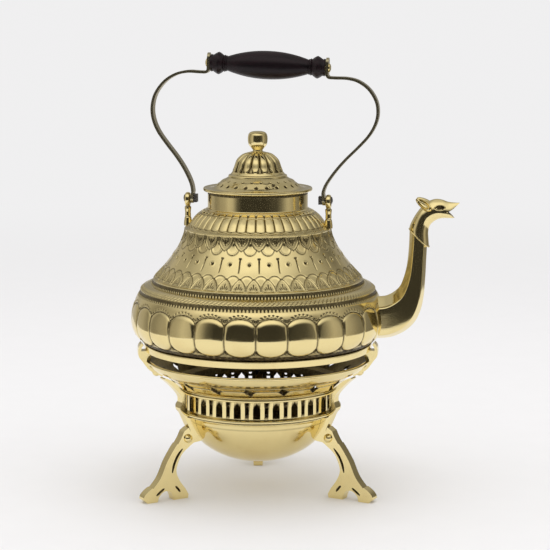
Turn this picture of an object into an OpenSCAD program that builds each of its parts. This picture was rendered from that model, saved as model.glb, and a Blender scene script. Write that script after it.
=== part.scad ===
// A brass spirit kettle with a swinging bail handle, resting on a pierced three-legged stand
// that holds a spirit burner. Millimetres, Z up, the table is z = 0, the spout points along +X.

/* [Kettle body] */
// Radius of the body at its widest
bulge_r = 111.2; // [105:0.2:135]
// Radius of the base band, which rests on the stand's brackets
base_r = 99.8; // [92:0.2:104]
// Height of the base band
band_h = 6; // [5:0.5:8]
// Height from the kettle's seat to the widest place
bulge_rise = 30; // [27:1:36]
// Height of the upper half of the bulge, up to the lip
bulge_up = 31.8; // [26:0.2:38]
// Height of the bell-shaped part, from the lip to the ledge
bell_h = 43; // [36:1:52]
// Radius of the lip between the bell and the bulge
lip_r = 90.8; // [86:0.2:96]
// Radius of the ledge that carries the bail's ears
ledge_r = 64.2; // [60:0.2:76]
// Radius of the shoulder where it stands on the ledge
shoulder_r = 58.2; // [54:0.2:59]
// Height of the shoulder
shoulder_h = 15.1; // [12:0.1:20]
// Thickness of the sheet brass
sheet = 1.5; // [1.2:0.1:2]

/* [Neck and lid] */
// Outer radius of the neck
neck_r = 43.5; // [38:0.5:46]
// Height of the neck above the shoulder
neck_h = 16.5; // [12:0.5:24]
// Radius of the lid's edge
lid_r = 47.5; // [46.5:0.1:52]
// Height of the lid's dome above its edge
lid_h = 30.2; // [26:0.2:38]
// Radius of the lid's fluted dome
dome_r = 22; // [18:0.5:26]
// Radius of the knob
knob_r = 8.5; // [7:0.5:11]
// Height of the knob
knob_h = 15.6; // [12:0.2:20]
// Depth of the lid's bezel inside the neck
bezel_h = 8; // [5:0.5:12]

/* [Spout] */
// Height of the spout's axis above the seat
spout_rise = 29.6; // [28:0.2:32]
// Reach of the riser's axis from the body's widest place
spout_reach = 27; // [24:1:36]
// Height of the head's mouth corner above the spout's axis
spout_h = 93; // [84:1:112]
// Thickness of the spout's wall
spout_wall = 1.8; // [1.4:0.1:2.2]
// Radius of the hole from the body into the spout
spout_hole_r = 10; // [8:0.5:11]

/* [Bail and grip] */
// Height of the grip's axis above the pivots
bail_h = 116; // [108:1:135]
// Half the width of the bail at its widest
bail_half_w = 100.8; // [90:0.2:118]
// Width of the bail's strap
strap_w = 9; // [7:0.5:11]
// Thickness of the bail's strap
strap_t = 2.3; // [1.8:0.1:2.8]
// Sideways lean of the bail towards the spout, per millimetre of height
bail_lean = 0.08; // [0:0.005:0.1]
// Tilt of the grip, down towards the spout, in degrees
grip_tilt = 2; // [0:0.5:3]
// Length of the grip
grip_len = 105; // [90:1:112]
// Radius of the grip at its middle
grip_r = 12.3; // [10:0.1:14]
// Height of the pivots above the ledge
pivot_rise = 24.1; // [22:0.1:30]
// Radius of the pivot bolts
bolt_r = 2.2; // [1.8:0.1:2.6]

/* [Stand] */
// Angle by which the stand is turned under the kettle, in degrees
stand_turn = 10; // [0:1:20]
// Height of the bowl's underside above the table
bowl_clear = 25; // [20:1:34]
// Depth of the bowl
bowl_depth = 50; // [44:1:60]
// Outer radius of the pierced gallery
gallery_r = 69.2; // [68:0.2:76]
// Height of the pierced gallery
gallery_h = 16; // [14:0.5:20]
// Number of arches in the gallery
arch_count = 26; // [20:1:28]
// Height of the rim above the gallery
rim_h = 25; // [22:1:30]
// Height of the kettle's seat above the rim
seat_rise = 9.8; // [9:0.2:12]
// Number of slanted vents in the rim
vent_count = 17; // [12:1:20]
// Thickness of the legs
leg_t = 8.5; // [7:0.5:10]
// Width of the brackets round the rim
bracket_w = 11.5; // [9:0.5:14]

/* [Burner] */
// Radius of the burner's font
font_r = 38; // [30:1:44]
// Height of the burner's font
font_h = 26; // [20:1:32]
// Radius of the wick's tube
wick_tube_r = 6; // [5:0.5:8]
// Height of the wick's tube above the burner's collar
wick_tube_h = 18; // [12:1:22]

/* [Clearances] */
// Gap between two pieces that are soldered or seated together
seat_gap = 0.15; // [0.1:0.05:0.25]
// Gap between pieces that turn or slide on each other
run_gap = 0.3; // [0.25:0.05:0.5]
// Gap between the lid's bezel and the neck
lid_gap = 0.5; // [0.3:0.1:0.8]

/* [Hidden] */

BRASS = [0.80, 0.68, 0.38];
STRAP = [0.62, 0.56, 0.36];
STEEL = [0.20, 0.19, 0.18];
WOOD = [0.20, 0.08, 0.07];
COTTON = [0.92, 0.89, 0.80];

// heights of the stand, from the table up
gallery_z = bowl_clear + bowl_depth;
rim_z = gallery_z + gallery_h;
rim_top_z = rim_z + rim_h;
seat_z = rim_top_z + seat_rise;

// heights of the kettle, from its seat up
lip_step = 2.8;
ledge_edge = 1;
bulge_z = seat_z + bulge_rise;
lip_z = bulge_z + bulge_up + lip_step;
ledge_z = lip_z + bell_h - ledge_edge;
shoulder_z = ledge_z + shoulder_h;
neck_z = shoulder_z + neck_h;
pivot_z = ledge_z + pivot_rise;
grip_z = pivot_z + bail_h;
spout_z = seat_z + spout_rise;

// the ears stand on the ledge, the strap runs inside them and the bolt's head inside the strap
ear_t = 4.4;
ear_x = ledge_r - 2.1;
ear_disc_r = 6;
strap_x = ear_x - ear_t / 2 - run_gap - strap_t / 2;
head_t = 3.4;
head_x = strap_x - strap_t / 2 - run_gap;

// the stand's mouldings and the legs that stand against them
moulding_r = gallery_r + 3.8;
moulding_h = 3.6;
gallery_wall = 1.5;
rim_wall = 1.7;
rim_r = base_r - 1.6;
lip_h = 1.2;
lip_out = gallery_r - gallery_wall - seat_gap;
ring_in = lip_out - gallery_wall;
bowl_r = gallery_r - 3.2;
LEG_ANGLES = [210, 330, 90];
BRACKET_ANGLES = [188, 352, 90];

// A smooth curve through the points, n steps to each stretch
function between(a, b, c, d, t) =
    0.5 * (2 * b + (c - a) * t + (2 * a - 5 * b + 4 * c - d) * t * t
        + (3 * b - a - 3 * c + d) * t * t * t);
function smooth(p, n) = [
    for (i = [0 : len(p) - 2]) for (j = [0 : n - 1])
        between(p[max(i - 1, 0)], p[i], p[i + 1], p[min(i + 2, len(p) - 1)], j / n),
    p[len(p) - 1]
];

// A path moved sideways by d, to the left of its direction
function unit(v) = v / norm(v);
function heading(p, i) = unit(p[min(i + 1, len(p) - 1)] - p[max(i - 1, 0)]);
function aside(p, d) = [for (i = [0 : len(p) - 1]) p[i] + d * [-heading(p, i)[1], heading(p, i)[0]]];
function back(p) = [for (i = [len(p) - 1 : -1 : 0]) p[i]];
// A strip of even thickness t along a path
function strip(p, t) = concat(aside(p, t / 2), back(aside(p, -t / 2)));

// A skin over rings of equally many points, closed from the last ring to the first
module hoop(rings) {
    n = len(rings);
    m = len(rings[0]);
    function at(i, j) = (i % n) * m + (j % m);
    polyhedron(
        points = [for (r = rings) for (p = r) p],
        faces = [for (i = [0 : n - 1]) for (j = [0 : m - 1]) for (h = [0, 1])
            h == 0 ? [at(i, j), at(i + 1, j + 1), at(i + 1, j)]
                   : [at(i, j), at(i, j + 1), at(i + 1, j + 1)]]);
}

// A solid over rings of equally many points, closed flat at both ends
module loft(rings) {
    n = len(rings);
    m = len(rings[0]);
    function at(i, j) = i * m + (j % m);
    polyhedron(
        points = [for (r = rings) for (p = r) p],
        faces = concat(
            [for (i = [0 : n - 2]) for (j = [0 : m - 1]) for (h = [0, 1])
                h == 0 ? [at(i, j), at(i + 1, j + 1), at(i + 1, j)]
                       : [at(i, j), at(i, j + 1), at(i + 1, j + 1)]],
            [for (j = [1 : m - 2]) [at(0, 0), at(0, j + 1), at(0, j)]],
            [for (j = [1 : m - 2]) [at(n - 1, 0), at(n - 1, j), at(n - 1, j + 1)]]
        ));
}

// A turned piece, from a list of [radius, height]
module turned(p) { rotate_extrude($fn = 96) polygon(p); }
// A flat piece that stands in the plane of X and Z
module upright(p, t) { rotate([90, 0, 0]) linear_extrude(t, center = true) polygon(p); }
// A shaft along X between two places
module shaft_x(x0, x1, r) {
    translate([x0, 0, 0]) rotate([0, 90, 0]) cylinder(r = r, h = x1 - x0, $fn = 48);
}

// The body's outline: foot inside the base pan, bulge, lip, bell, ledge, shoulder, neck hole
foot_r = base_r - sheet - seat_gap;
foot_step = 0.8;
foot_a = 50;
bulge_core = lip_r - 7.8;
bulge_low = (bulge_rise - band_h - foot_step - 1) / sin(foot_a);
function bulge_at(a) = [
    bulge_core + (bulge_r - bulge_core) * cos(a),
    bulge_z + (a < 0 ? bulge_low : bulge_up) * sin(a)
];
bell_power = 1.6;
function bell_at(t) = [
    ledge_r + (lip_r - ledge_r) * pow(t, bell_power),
    ledge_z - ledge_edge - (bell_h - ledge_edge) * t
];
function bell_normal(t) =
    unit([bell_h - ledge_edge, (lip_r - ledge_r) * bell_power * pow(t, bell_power - 1)]);
shoulder_core = neck_r + 3;
function shoulder_at(a) = [
    shoulder_core + (shoulder_r - shoulder_core) * sin(a),
    ledge_z + shoulder_h * cos(a)
];
BODY = concat(
    [[foot_r, seat_z + sheet], [foot_r, seat_z + band_h + foot_step]],
    [for (a = [-foot_a : 10 : 80]) bulge_at(a)],
    [[lip_r - 1.6, lip_z - 2.2], [lip_r, lip_z - 1.2]],
    [for (i = [10 : -1 : 0]) bell_at(i / 10)],
    [[ledge_r - 0.6, ledge_z], [shoulder_r + 0.3, ledge_z]],
    [for (a = [80 : -10 : 0]) shoulder_at(a)]
);

INSIDE = concat(
    [[foot_r - sheet, seat_z + sheet], [foot_r - sheet, seat_z + band_h + foot_step / 2]],
    [for (a = [-foot_a : 10 : 70]) bulge_at(a) - sheet * [cos(a), sin(a)]],
    [[lip_r - 1.6 - sheet, lip_z - 1.8 - sheet]],
    [for (i = [9 : -1 : 1]) bell_at(i / 10) - sheet * bell_normal(i / 10)],
    [[ledge_r - sheet, ledge_z - sheet], [shoulder_r - sheet, ledge_z - sheet]],
    [for (a = [80 : -10 : 10]) shoulder_at(a) - sheet * [sin(a), cos(a)]]
);

module kettle_body() {
    neck_hole = [neck_r + seat_gap, shoulder_z];
    color(BRASS) difference() {
        turned(concat(BODY, [neck_hole, neck_hole - [0, sheet]], back(INSIDE)));
        translate([0, 0, spout_z]) shaft_x(bulge_core, bulge_r + 5, spout_hole_r);
        for (s = [-1, 1]) translate([s * ear_stud_x, 0, ledge_z - 2 * sheet])
            cylinder(r = ear_stud_r + seat_gap, h = 3 * sheet, $fn = 32);
    }
}

module base_pan() {
    color(BRASS) turned([
        [0, seat_z], [base_r, seat_z], [base_r, seat_z + band_h],
        [base_r - sheet, seat_z + band_h], [base_r - sheet, seat_z + sheet], [0, seat_z + sheet]
    ]);
}

module neck_collar() {
    bead_r = neck_r + 2;
    neck_in = neck_r - sheet;
    tuck = 4;
    color(BRASS) turned([
        [neck_in, shoulder_z - tuck], [neck_r, shoulder_z - tuck], [neck_r, shoulder_z],
        [bead_r, shoulder_z], [bead_r, shoulder_z + 0.8], [neck_r, shoulder_z + 1.6],
        [neck_r, neck_z], [neck_in, neck_z]
    ]);
}

// The spout: each station has its inner edge, its outer edge and half its width across
riser_x = bulge_r + spout_reach;
root_h = 18.5;
SPOUT = [
    [-40, root_h, -40, -root_h, 13.5],
    [-32, root_h + 0.3, -31, -root_h, 13.5],
    [-26, root_h + 1.5, -21, -root_h + 1.8, 13.2],
    [-20, root_h + 5, -10.5, -root_h + 7, 12.6],
    [-15.2, root_h + 10, -2, -root_h + 15.2, 11.6],
    [-12.2, root_h + 17.5, 3, -root_h + 26, 10.6],
    [-10.2, root_h + 25, 5.6, -root_h + 39, 9.7],
    [-8.9, root_h + 33.5, 6.8, -root_h + 55, 9],
    [-8.2, root_h + 42, 7.4, -root_h + 71, 8.5],
    [-7.8, spout_h - 25, 7.7, spout_h - 34.5, 8.1],
    [-7.6, spout_h - 15.6, 7.8, spout_h - 29.6, 7.9]
];
// Corners of the faceted section: share of the way across, and side
FACETS = [[0, 0], [0.27, 1], [0.75, 1], [1, 0], [0.75, -1], [0.27, -1]];

function spout_ring(s, wall) =
    let (
        a = [s[0], s[1]], b = [s[2], s[3]], u = unit(b - a),
        p = a + u * wall, q = b - u * wall
    )
    [for (f = FACETS)
        let (c = p + (q - p) * f[0])
        [riser_x + c[0], f[1] * (s[4] - wall), spout_z + c[1]]];

module spout_skin(wall) {
    line = smooth(SPOUT, 3);
    hoop(concat(
        [for (s = line) spout_ring(s, 0)],
        [for (s = back(line)) spout_ring(s, wall)]
    ));
}

module spout_tube() {
    color(BRASS) difference() {
        spout_skin(spout_wall);
        turned(concat([[0, seat_z]], aside(BODY, -seat_gap), [[0, neck_z]]));
    }
}

// The head: back or top edge, front or under edge, half width; measured from the mouth's corner.
// Its slanted collar stands on the spout's slanted end.
HEAD = [
    [-33.9, -15.2, -16.5, -31, 9.2],
    [-33, -11.4, -17, -25, 9.3],
    [-29.9, -5, -17.4, -17.4, 8.9],
    [-26.2, 0.7, -16, -11.9, 8.3],
    [-21.9, 5.7, -12.5, -8.2, 7.7],
    [-16.6, 9.5, -8.4, -6, 7.2],
    [-11.3, 11.2, -4.4, -5.3, 6.7],
    [-5.8, 10.7, -0.8, -5.2, 5.9],
    [-0.8, 9, 2.2, -5.2, 4.8],
    [4.2, 8.4, 4, -5.1, 3.6],
    [9.8, 8.2, 5, -4.9, 2]
];
head_wall = 1.5;
mouth_x = riser_x + 26.1;
mouth_z = spout_z + spout_h;
function oval(s, wall) =
    let (
        a = [s[0], s[1]], b = [s[2], s[3]], u = unit(b - a),
        mid = (a + b) / 2, half = norm(b - a) / 2 - wall
    )
    [for (k = [0 : 11])
        let (c = mid - u * half * cos(30 * k))
        [mouth_x + c[0], (s[4] - wall) * sin(30 * k), mouth_z + c[1]]];

module spout_head() {
    bore = concat([[-33.9, -19.2, -16.5, -35, 9.2]], [for (i = [0 : 8]) HEAD[i]]);
    color(BRASS) difference() {
        union() {
            loft([for (s = smooth(HEAD, 2)) oval(s, 0)]);
            // two cupped ears that point up and back
            for (s = [-1, 1]) translate([mouth_x - 17.6, s * 6.2, mouth_z + 3.4]) rotate([s * -14, -42, 0])
                turned([[0, -2], [2, 0], [3.6, 4], [3.4, 8], [1.6, 12], [0, 13.4]]);
        }
        loft([for (s = smooth(bore, 2)) oval(s, head_wall)]);
        translate([mouth_x, 0, mouth_z])
            upright([[-1, 0], [11, 9.6], [16, 6], [16, -8], [6.2, -6.2]], 20);
    }
}

// The bail's ears, with a foot on the ledge, a turned stem and a round eye for the bolt
ear_stud_r = 1.5;
ear_stud_x = ear_x - 2;
module ear(side) {
    foot_l = 12;
    foot_h = 2.4;
    foot_x = ear_x - 1;
    stem_top = pivot_z - ear_disc_r + 1.5;
    color(BRASS) scale([side, 1, 1]) difference() {
        union() {
            translate([foot_x - 2.5, -foot_l / 2, ledge_z]) cube([5, foot_l, foot_h]);
            translate([foot_x - 2, -2.4, ledge_z + foot_h - 0.2]) cube([4.6, 4.8, 5]);
            translate([ear_x, 0, 0]) turned([
                [0, ledge_z + foot_h], [2.1, ledge_z + foot_h], [2.1, ledge_z + 9],
                [2.3, ledge_z + 10], [1.7, ledge_z + 12], [2.3, ledge_z + 14],
                [2.3, ledge_z + 15], [1.8, stem_top - 2], [2.1, stem_top + 1], [0, stem_top + 1]
            ]);
            translate([0, 0, pivot_z]) shaft_x(ear_x - ear_t / 2, ear_x + ear_t / 2, ear_disc_r);
            // the stud goes through the ledge and is peened over inside
            translate([ear_stud_x, 0, ledge_z - sheet - seat_gap - 1]) {
                cylinder(r = ear_stud_r, h = sheet + seat_gap + 1.2, $fn = 32);
                cylinder(r = ear_stud_r + 0.6, h = 1, $fn = 32);
            }
        }
        translate([0, 0, pivot_z]) shaft_x(ear_x - ear_t, ear_x + ear_t, bolt_r + seat_gap / 3);
    }
}

// A bolt with a square head inside the strap, riveted over outside the ear
module bolt(side) {
    head_w = 7;
    color(STEEL) scale([side, 1, 1]) translate([0, 0, pivot_z]) {
        translate([head_x - head_t, -head_w / 2, -head_w / 2]) cube([head_t, head_w, head_w]);
        shaft_x(head_x - 0.1, ear_x + ear_t / 2 + 0.1, bolt_r);
        translate([ear_x + ear_t / 2, 0, 0]) rotate([0, 90, 0])
            turned([[0, 0], [3.4, 0], [2.8, 0.9], [1.4, 1.4], [0, 1.4]]);
    }
}

// Places on the bail: x out from the middle and h up from the pivots, with its lean and tilt
straight_h = 9;
function above_ears(h) = max(0, h - straight_h);
function bail_at(side, x, h) = [
    side * x + bail_lean * above_ears(h),
    pivot_z + h - side * x * tan(grip_tilt) * above_ears(h) / (bail_h - straight_h)
];
grip_x = bail_lean * (bail_h - straight_h);
// Places by the grip: u along its axis and w up from it
function grip_at(u, w) = [
    grip_x + u * cos(grip_tilt) + w * sin(grip_tilt),
    grip_z - u * sin(grip_tilt) + w * cos(grip_tilt)
];
rod_r = 2.4;
plate_u = grip_len / 2 + run_gap + strap_t / 2;
plate_low = -8.3;
plate_high = 8.7;
bend_r = 3;
// Share of the way out from the ear to the widest place, and share of the way up to the strap's top
BAIL = [
    [0.066, 0.135], [0.239, 0.241], [0.437, 0.341], [0.655, 0.437], [0.851, 0.534],
    [0.967, 0.63], [1, 0.724], [0.946, 0.823], [0.778, 0.918], [0.55, 0.978]
];
function bail_path(side) =
    let (top = bail_h + plate_low, foot = strap_w / 2)
    concat(
        [bail_at(side, strap_x, -foot)],
        smooth(concat(
            [bail_at(side, strap_x, 0), bail_at(side, strap_x, 3.5), bail_at(side, strap_x, 7)],
            [for (p = BAIL) bail_at(side, strap_x + (bail_half_w - strap_x) * p[0], top * p[1])],
            [grip_at(side * (plate_u + 18), plate_low), grip_at(side * (plate_u + 9), plate_low)]
        ), 5),
        [for (a = [0 : 15 : 90])
            grip_at(side * (plate_u + bend_r - bend_r * sin(a)), plate_low + bend_r - bend_r * cos(a))],
        [grip_at(side * plate_u, plate_high)]
    );

module at_grip() {
    translate([grip_x, 0, grip_z]) rotate([0, grip_tilt, 0]) children();
}
module bail(side) {
    wide = 400;
    plate_round = plate_high - strap_w / 2;
    color(STRAP) difference() {
        intersection() {
            upright(strip(bail_path(side), strap_t), strap_w);
            union() {
                translate([-wide / 2, -strap_w, pivot_z]) cube([wide, 2 * strap_w, wide]);
                translate([0, 0, pivot_z]) shaft_x(-wide / 2, wide / 2, strap_w / 2);
            }
            at_grip() union() {
                translate([-wide / 2, -strap_w, plate_round - wide]) cube([wide, 2 * strap_w, wide]);
                translate([0, 0, plate_round]) shaft_x(-wide / 2, wide / 2, strap_w / 2);
            }
        }
        translate([0, 0, pivot_z]) scale([side, 1, 1])
            shaft_x(strap_x - 3, strap_x + 3, bolt_r + seat_gap);
        at_grip() scale([side, 1, 1]) shaft_x(plate_u - 3, plate_u + 3, rod_r + seat_gap / 3);
    }
}

module grip_rod() {
    end_u = plate_u + strap_t / 2;
    dome = [[0, 0], [4, 0], [3.4, 1.1], [1.8, 1.8], [0, 1.8]];
    color(BRASS) at_grip() {
        shaft_x(-end_u - 0.1, end_u + 0.1, rod_r);
        translate([end_u, 0, 0]) rotate([0, 90, 0]) turned(dome);
        translate([-end_u, 0, 0]) rotate([0, -90, 0]) turned(dome);
    }
}

// The turned grip: end bead, two small rings and a barrel that swells to the middle
module grip() {
    half = grip_len / 2;
    bead_r = 9.6;
    waist_r = 6.6;
    bore = rod_r + run_gap;
    barrel = half - 17;
    end = [
        [7.4, 0], [7.9, 1.2], [7.6, 2.4], [8.6, 4], [bead_r, 6.6], [bead_r, 8.6], [8.4, 10.8],
        [7, 12.4], [7.6, 13.2], [7, 14], [7.4, 14.8], [waist_r, 15.8]
    ];
    side = concat(
        [for (p = end) [p[0], p[1] - half]],
        [for (i = [-10 : 10])
            [grip_r - (grip_r - waist_r - 0.3) * pow(abs(i) / 10, 2.1), barrel * i / 10]],
        [for (p = back(end)) [p[0], half - p[1]]]
    );
    color(WOOD) at_grip() rotate([0, 90, 0])
        turned(concat([[bore, -half]], side, [[bore, half]]));
}

// The lid: a turned cover with a fluted dome, a bezel inside the neck, and a knob with its nut
edge_h = 2.8;
dome_h = 19.5;
lid_top_z = neck_z + edge_h + lid_h;
knob_seat_z = lid_top_z - 0.4;
dome_z = lid_top_z - dome_h;
spigot_r = 2;
lid_wall = 1.2;
skirt_r = dome_r + 0.8;
function dome_at(a) = [dome_r * cos(a), dome_z + dome_h * sin(a)];
function skirt_at(t) = [
    skirt_r + (lid_r - skirt_r) * t,
    neck_z + edge_h + (dome_z + 1 - neck_z - edge_h) * pow(1 - t, 1.9)
];
module lid_cover() {
    seat_in = neck_r - 4.5;
    top = concat(
        [for (a = [75 : -7.5 : 7.5]) dome_at(a)],
        [for (i = [0 : 9]) skirt_at(i / 10)]
    );
    under = [for (p = aside(top, -lid_wall)) if (p[0] < seat_in) p];
    color(BRASS) difference() {
        turned(concat(
            [[0, knob_seat_z], [5.4, knob_seat_z]], top,
            [[lid_r - 0.5, neck_z + edge_h + 0.1], [lid_r, neck_z + edge_h - 0.6],
             [lid_r, neck_z + 1], [lid_r - 0.8, neck_z], [seat_in, neck_z]],
            back(under), [[0, knob_seat_z - lid_wall]]
        ));
        translate([0, 0, lid_top_z - 4]) cylinder(r = spigot_r + seat_gap, h = 8, $fn = 32);
    }
}

module lid_bezel() {
    r = neck_r - sheet - lid_gap;
    color(BRASS) turned([
        [r - lid_wall, neck_z - bezel_h], [r, neck_z - bezel_h], [r, neck_z], [r - lid_wall, neck_z]
    ]);
}

module lid_knob() {
    z0 = knob_seat_z;
    stem_h = 3.4;
    spigot_h = 5.5;
    z1 = z0 + stem_h;
    cut = 2.2;
    color(BRASS) turned([
        [0, z0 - spigot_h], [spigot_r, z0 - spigot_h], [spigot_r, z0], [5, z0], [4.4, z0 + 1.2],
        [4.4, z1 - 0.4], [knob_r - cut, z1], [knob_r - 0.6, z1 + cut], [knob_r, z1 + cut + 1.4],
        [knob_r, z1 + knob_h - cut - 1.4], [knob_r - 0.6, z1 + knob_h - cut],
        [knob_r - cut, z1 + knob_h - 0.4], [knob_r - cut - 1.6, z1 + knob_h], [0, z1 + knob_h]
    ]);
}

module knob_nut() {
    nut_h = 2.8;
    across = 8;
    color(BRASS) translate([0, 0, knob_seat_z - lid_wall - seat_gap - nut_h]) difference() {
        cylinder(r = across / 2, h = nut_h, $fn = 6);
        translate([0, 0, -1]) cylinder(r = spigot_r + seat_gap / 3, h = nut_h + 2, $fn = 32);
    }
}

// The stand: a flared rim over a pierced gallery over a round bowl.
// Share of the way out and up from the moulding to the rim's top edge
RIM_SHAPE = [[0, 0], [0.14, 0.13], [0.40, 0.26], [0.68, 0.44], [0.90, 0.79], [1, 1]];
rim_foot_z = rim_z + moulding_h;
FLARE = [for (p = smooth(RIM_SHAPE, 4))
    [moulding_r + (rim_r - moulding_r) * p[0], rim_foot_z + (rim_top_z - rim_foot_z) * p[1]]];
function bowl_at(a) = [bowl_r * sin(a), gallery_z - bowl_depth * cos(a)];
BOWL = [for (a = [4 : 7 : 81]) bowl_at(a)];

module stand_rim() {
    inside = [for (p = aside(FLARE, rim_wall)) if (p[1] > rim_foot_z + 1.6 && p[1] < rim_top_z - 0.5) p];
    vent = [2.6, 8.5, 24];
    vent_x = moulding_r + (rim_r - moulding_r) * 0.45;
    vent_slant = -38;
    vent_start = -116.8;
    color(BRASS) rotate(stand_turn) difference() {
        turned(concat(
            [[lip_out, rim_z - lip_h], [lip_out, rim_z], [moulding_r, rim_z]],
            FLARE, [[rim_r - rim_wall, rim_top_z]], back(inside),
            [[ring_in, rim_foot_z + 1.4], [ring_in, rim_z - lip_h]]
        ));
        for (i = [0 : vent_count - 1]) rotate(i * 360 / vent_count + vent_start)
            translate([vent_x, 0, rim_z + 8]) rotate(vent_slant) cube(vent, center = true);
        for (a = LEG_ANGLES) rotate(a) upper_screw(seat_gap / 3);
        for (a = BRACKET_ANGLES) rotate(a) bracket_rivet_shank(seat_gap / 3);
    }
}

module gallery() {
    step = 360 / arch_count;
    // the pattern keeps its share of the wall when the gallery grows, with bars at top and bottom
    arch_w = 0.32 * gallery_r * step * PI / 180;
    slot_w = 0.54 * arch_w;
    low = gallery_z + 1.5;
    top = gallery_h - 4;
    arch = [[-arch_w / 2, 0], [arch_w / 2, 0], [arch_w / 2, top - 3], [0, top], [-arch_w / 2, top - 3]];
    slot = [[-slot_w / 2, 0.8], [slot_w / 2, 0.8], [slot_w / 2, top - 4.2], [-slot_w / 2, top - 4.2]];
    deep = 8;
    color(BRASS) rotate(stand_turn) difference() {
        turned([
            [gallery_r - gallery_wall, gallery_z], [gallery_r, gallery_z],
            [gallery_r, rim_z], [gallery_r - gallery_wall, rim_z]
        ]);
        for (i = [0 : arch_count - 1]) rotate(i * step) translate([0, -gallery_r, low])
            upright(arch, deep);
        for (i = [0 : arch_count - 1]) rotate((i + 0.5) * step) translate([0, -gallery_r, low]) {
            upright(slot, deep);
            translate([0, 0, top - 1]) rotate([90, 0, 0])
                cylinder(r = slot_w / 2, h = deep, center = true, $fn = 24);
        }
    }
}

module bowl() {
    inside = [for (p = aside(BOWL, sheet)) if (p[1] > font_z + 1) p];
    color(BRASS) rotate(stand_turn) difference() {
        turned(concat(
            [[0, bowl_clear]], BOWL,
            [[bowl_r, gallery_z - 5.6], [moulding_r - 3.4, gallery_z - 4.4],
             [moulding_r - 3.4, gallery_z - moulding_h], [moulding_r, gallery_z - 2.6],
             [moulding_r, gallery_z], [lip_out, gallery_z], [lip_out, gallery_z + lip_h],
             [ring_in, gallery_z + lip_h], [ring_in, gallery_z - 2], [bowl_r - sheet, gallery_z - 5]],
            back(inside), [[font_foot_r + 1, font_z], [0, font_z]]
        ));
        for (a = LEG_ANGLES) rotate(a) lower_screw(seat_gap / 3);
    }
}

// The legs: flat castings that stand in planes through the axis. The outline is drawn from
// the moulding outwards and over the height up to the rim's foot, and is cut to the stand.
leg_draw_h = 91;
function leg_at(p) = [moulding_r + p[0], p[1] * rim_z / leg_draw_h];
// The prong at the top is drawn against the flare, by its width and its height
flare_draw = [25.2, 21.4];
function prong_at(p) = [moulding_r + p[0] * (rim_r - moulding_r) / flare_draw[0],
    rim_foot_z + p[1] * (rim_top_z - rim_foot_z) / flare_draw[1]];
PRONG = [[9, -0.2], [14.8, 7.4], [19.4, 12.8], [10, 9.4], [-5, 9.4]];
LEG = concat(
    // inner side, from the tip under the bowl down to the inner toe
    [[-18, 52], [-12.9, 49.2]],
    smooth([[-6.3, 48.5], [-1.7, 45.4], [5.4, 39.6], [9.7, 31.2], [10.9, 24.2], [7.7, 16.2], [2.3, 8.8]], 4),
    [[-0.7, 3.2], [0, 0], [12, 0]],
    // the arch between the toes
    smooth([[12.4, 2.6], [14.6, 6.8], [18, 8.6], [21.9, 7.9], [25.6, 4.4]], 4),
    [[26.8, 0], [34.6, 0]],
    // outer side, from the outer toe up to the shoulder
    smooth([[38.6, 3.6], [37.4, 7], [29, 14.2], [23.6, 23.2], [19.6, 34.2], [13.4, 44.2], [7.2, 51.6],
            [3.2, 59.2]], 4),
    [[-1.4, 62.2], [-3.4, 58]],
    smooth([[-1.6, 63], [1, 68.4], [3.6, 74.2], [6.9, 79.4], [5.2, 84], [5, 88.6]], 4)
);
module leg(angle) {
    envelope = concat(
        [[0, bowl_clear - 4]], aside(BOWL, -seat_gap),
        [[bowl_r + seat_gap, gallery_z - 6], [moulding_r + seat_gap, gallery_z - moulding_h]],
        aside(FLARE, -seat_gap), [[rim_r, rim_top_z + 20], [0, rim_top_z + 20]]
    );
    color(BRASS) rotate(stand_turn + angle) difference() {
        upright(concat([for (p = LEG) leg_at(p)], [for (p = PRONG) prong_at(p)]), leg_t);
        turned(envelope);
        upper_screw(seat_gap / 3);
        lower_screw(seat_gap / 3);
        leg_rivet_shank(seat_gap / 3);
    }
}

// Screws from inside: one through the rim's foot, one square through the bowl's wall
screw_r = 1.7;
screw_bite = 6;
screw_a = 69;
upper_screw_z = rim_z + moulding_h / 2;
module at_bowl_wall() {
    p = bowl_at(screw_a);
    tilt = atan2(bowl_r * cos(screw_a), bowl_depth * sin(screw_a));
    translate([p[0], 0, p[1]]) rotate([0, tilt, 0]) children();
}
module upper_screw(gap = 0) {
    translate([0, 0, upper_screw_z]) shaft_x(ring_in - 1, moulding_r + screw_bite, screw_r + gap);
}
module lower_screw(gap = 0) {
    at_bowl_wall() shaft_x(-sheet - 1.5, screw_bite, screw_r + gap);
}
module leg_screws() {
    head = [[0, 0], [3.2, 0], [3, 1.2], [1.8, 2], [0, 2]];
    color(STEEL) for (angle = LEG_ANGLES) rotate(stand_turn + angle) {
        upper_screw();
        translate([ring_in - seat_gap, 0, upper_screw_z]) rotate([0, -90, 0]) turned(head);
        lower_screw();
        at_bowl_wall() translate([-sheet - 2 * seat_gap, 0, 0]) rotate([0, -90, 0]) turned(head);
    }
}

// A ball-headed rivet through each leg at its knee
rivet_at = [-2.1, 52.8];
module leg_rivet_shank(gap = 0) {
    p = leg_at(rivet_at);
    translate([p[0], 0, p[1]]) rotate([90, 0, 0])
        cylinder(r = 1.8 + gap, h = leg_t + 0.4, center = true, $fn = 32);
}
module leg_rivets() {
    p = leg_at(rivet_at);
    ball = [[0, 0], [3.8, 0], [3.7, 0.9], [3.1, 2.1], [2, 3], [0.8, 3.4], [0, 3.4]];
    color(BRASS) for (angle = LEG_ANGLES) rotate(stand_turn + angle) {
        leg_rivet_shank();
        for (s = [-1, 1]) translate([p[0], s * (leg_t / 2 + 0.05), p[1]])
            rotate([s * -90, 0, 0]) turned(ball);
    }
}

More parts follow.
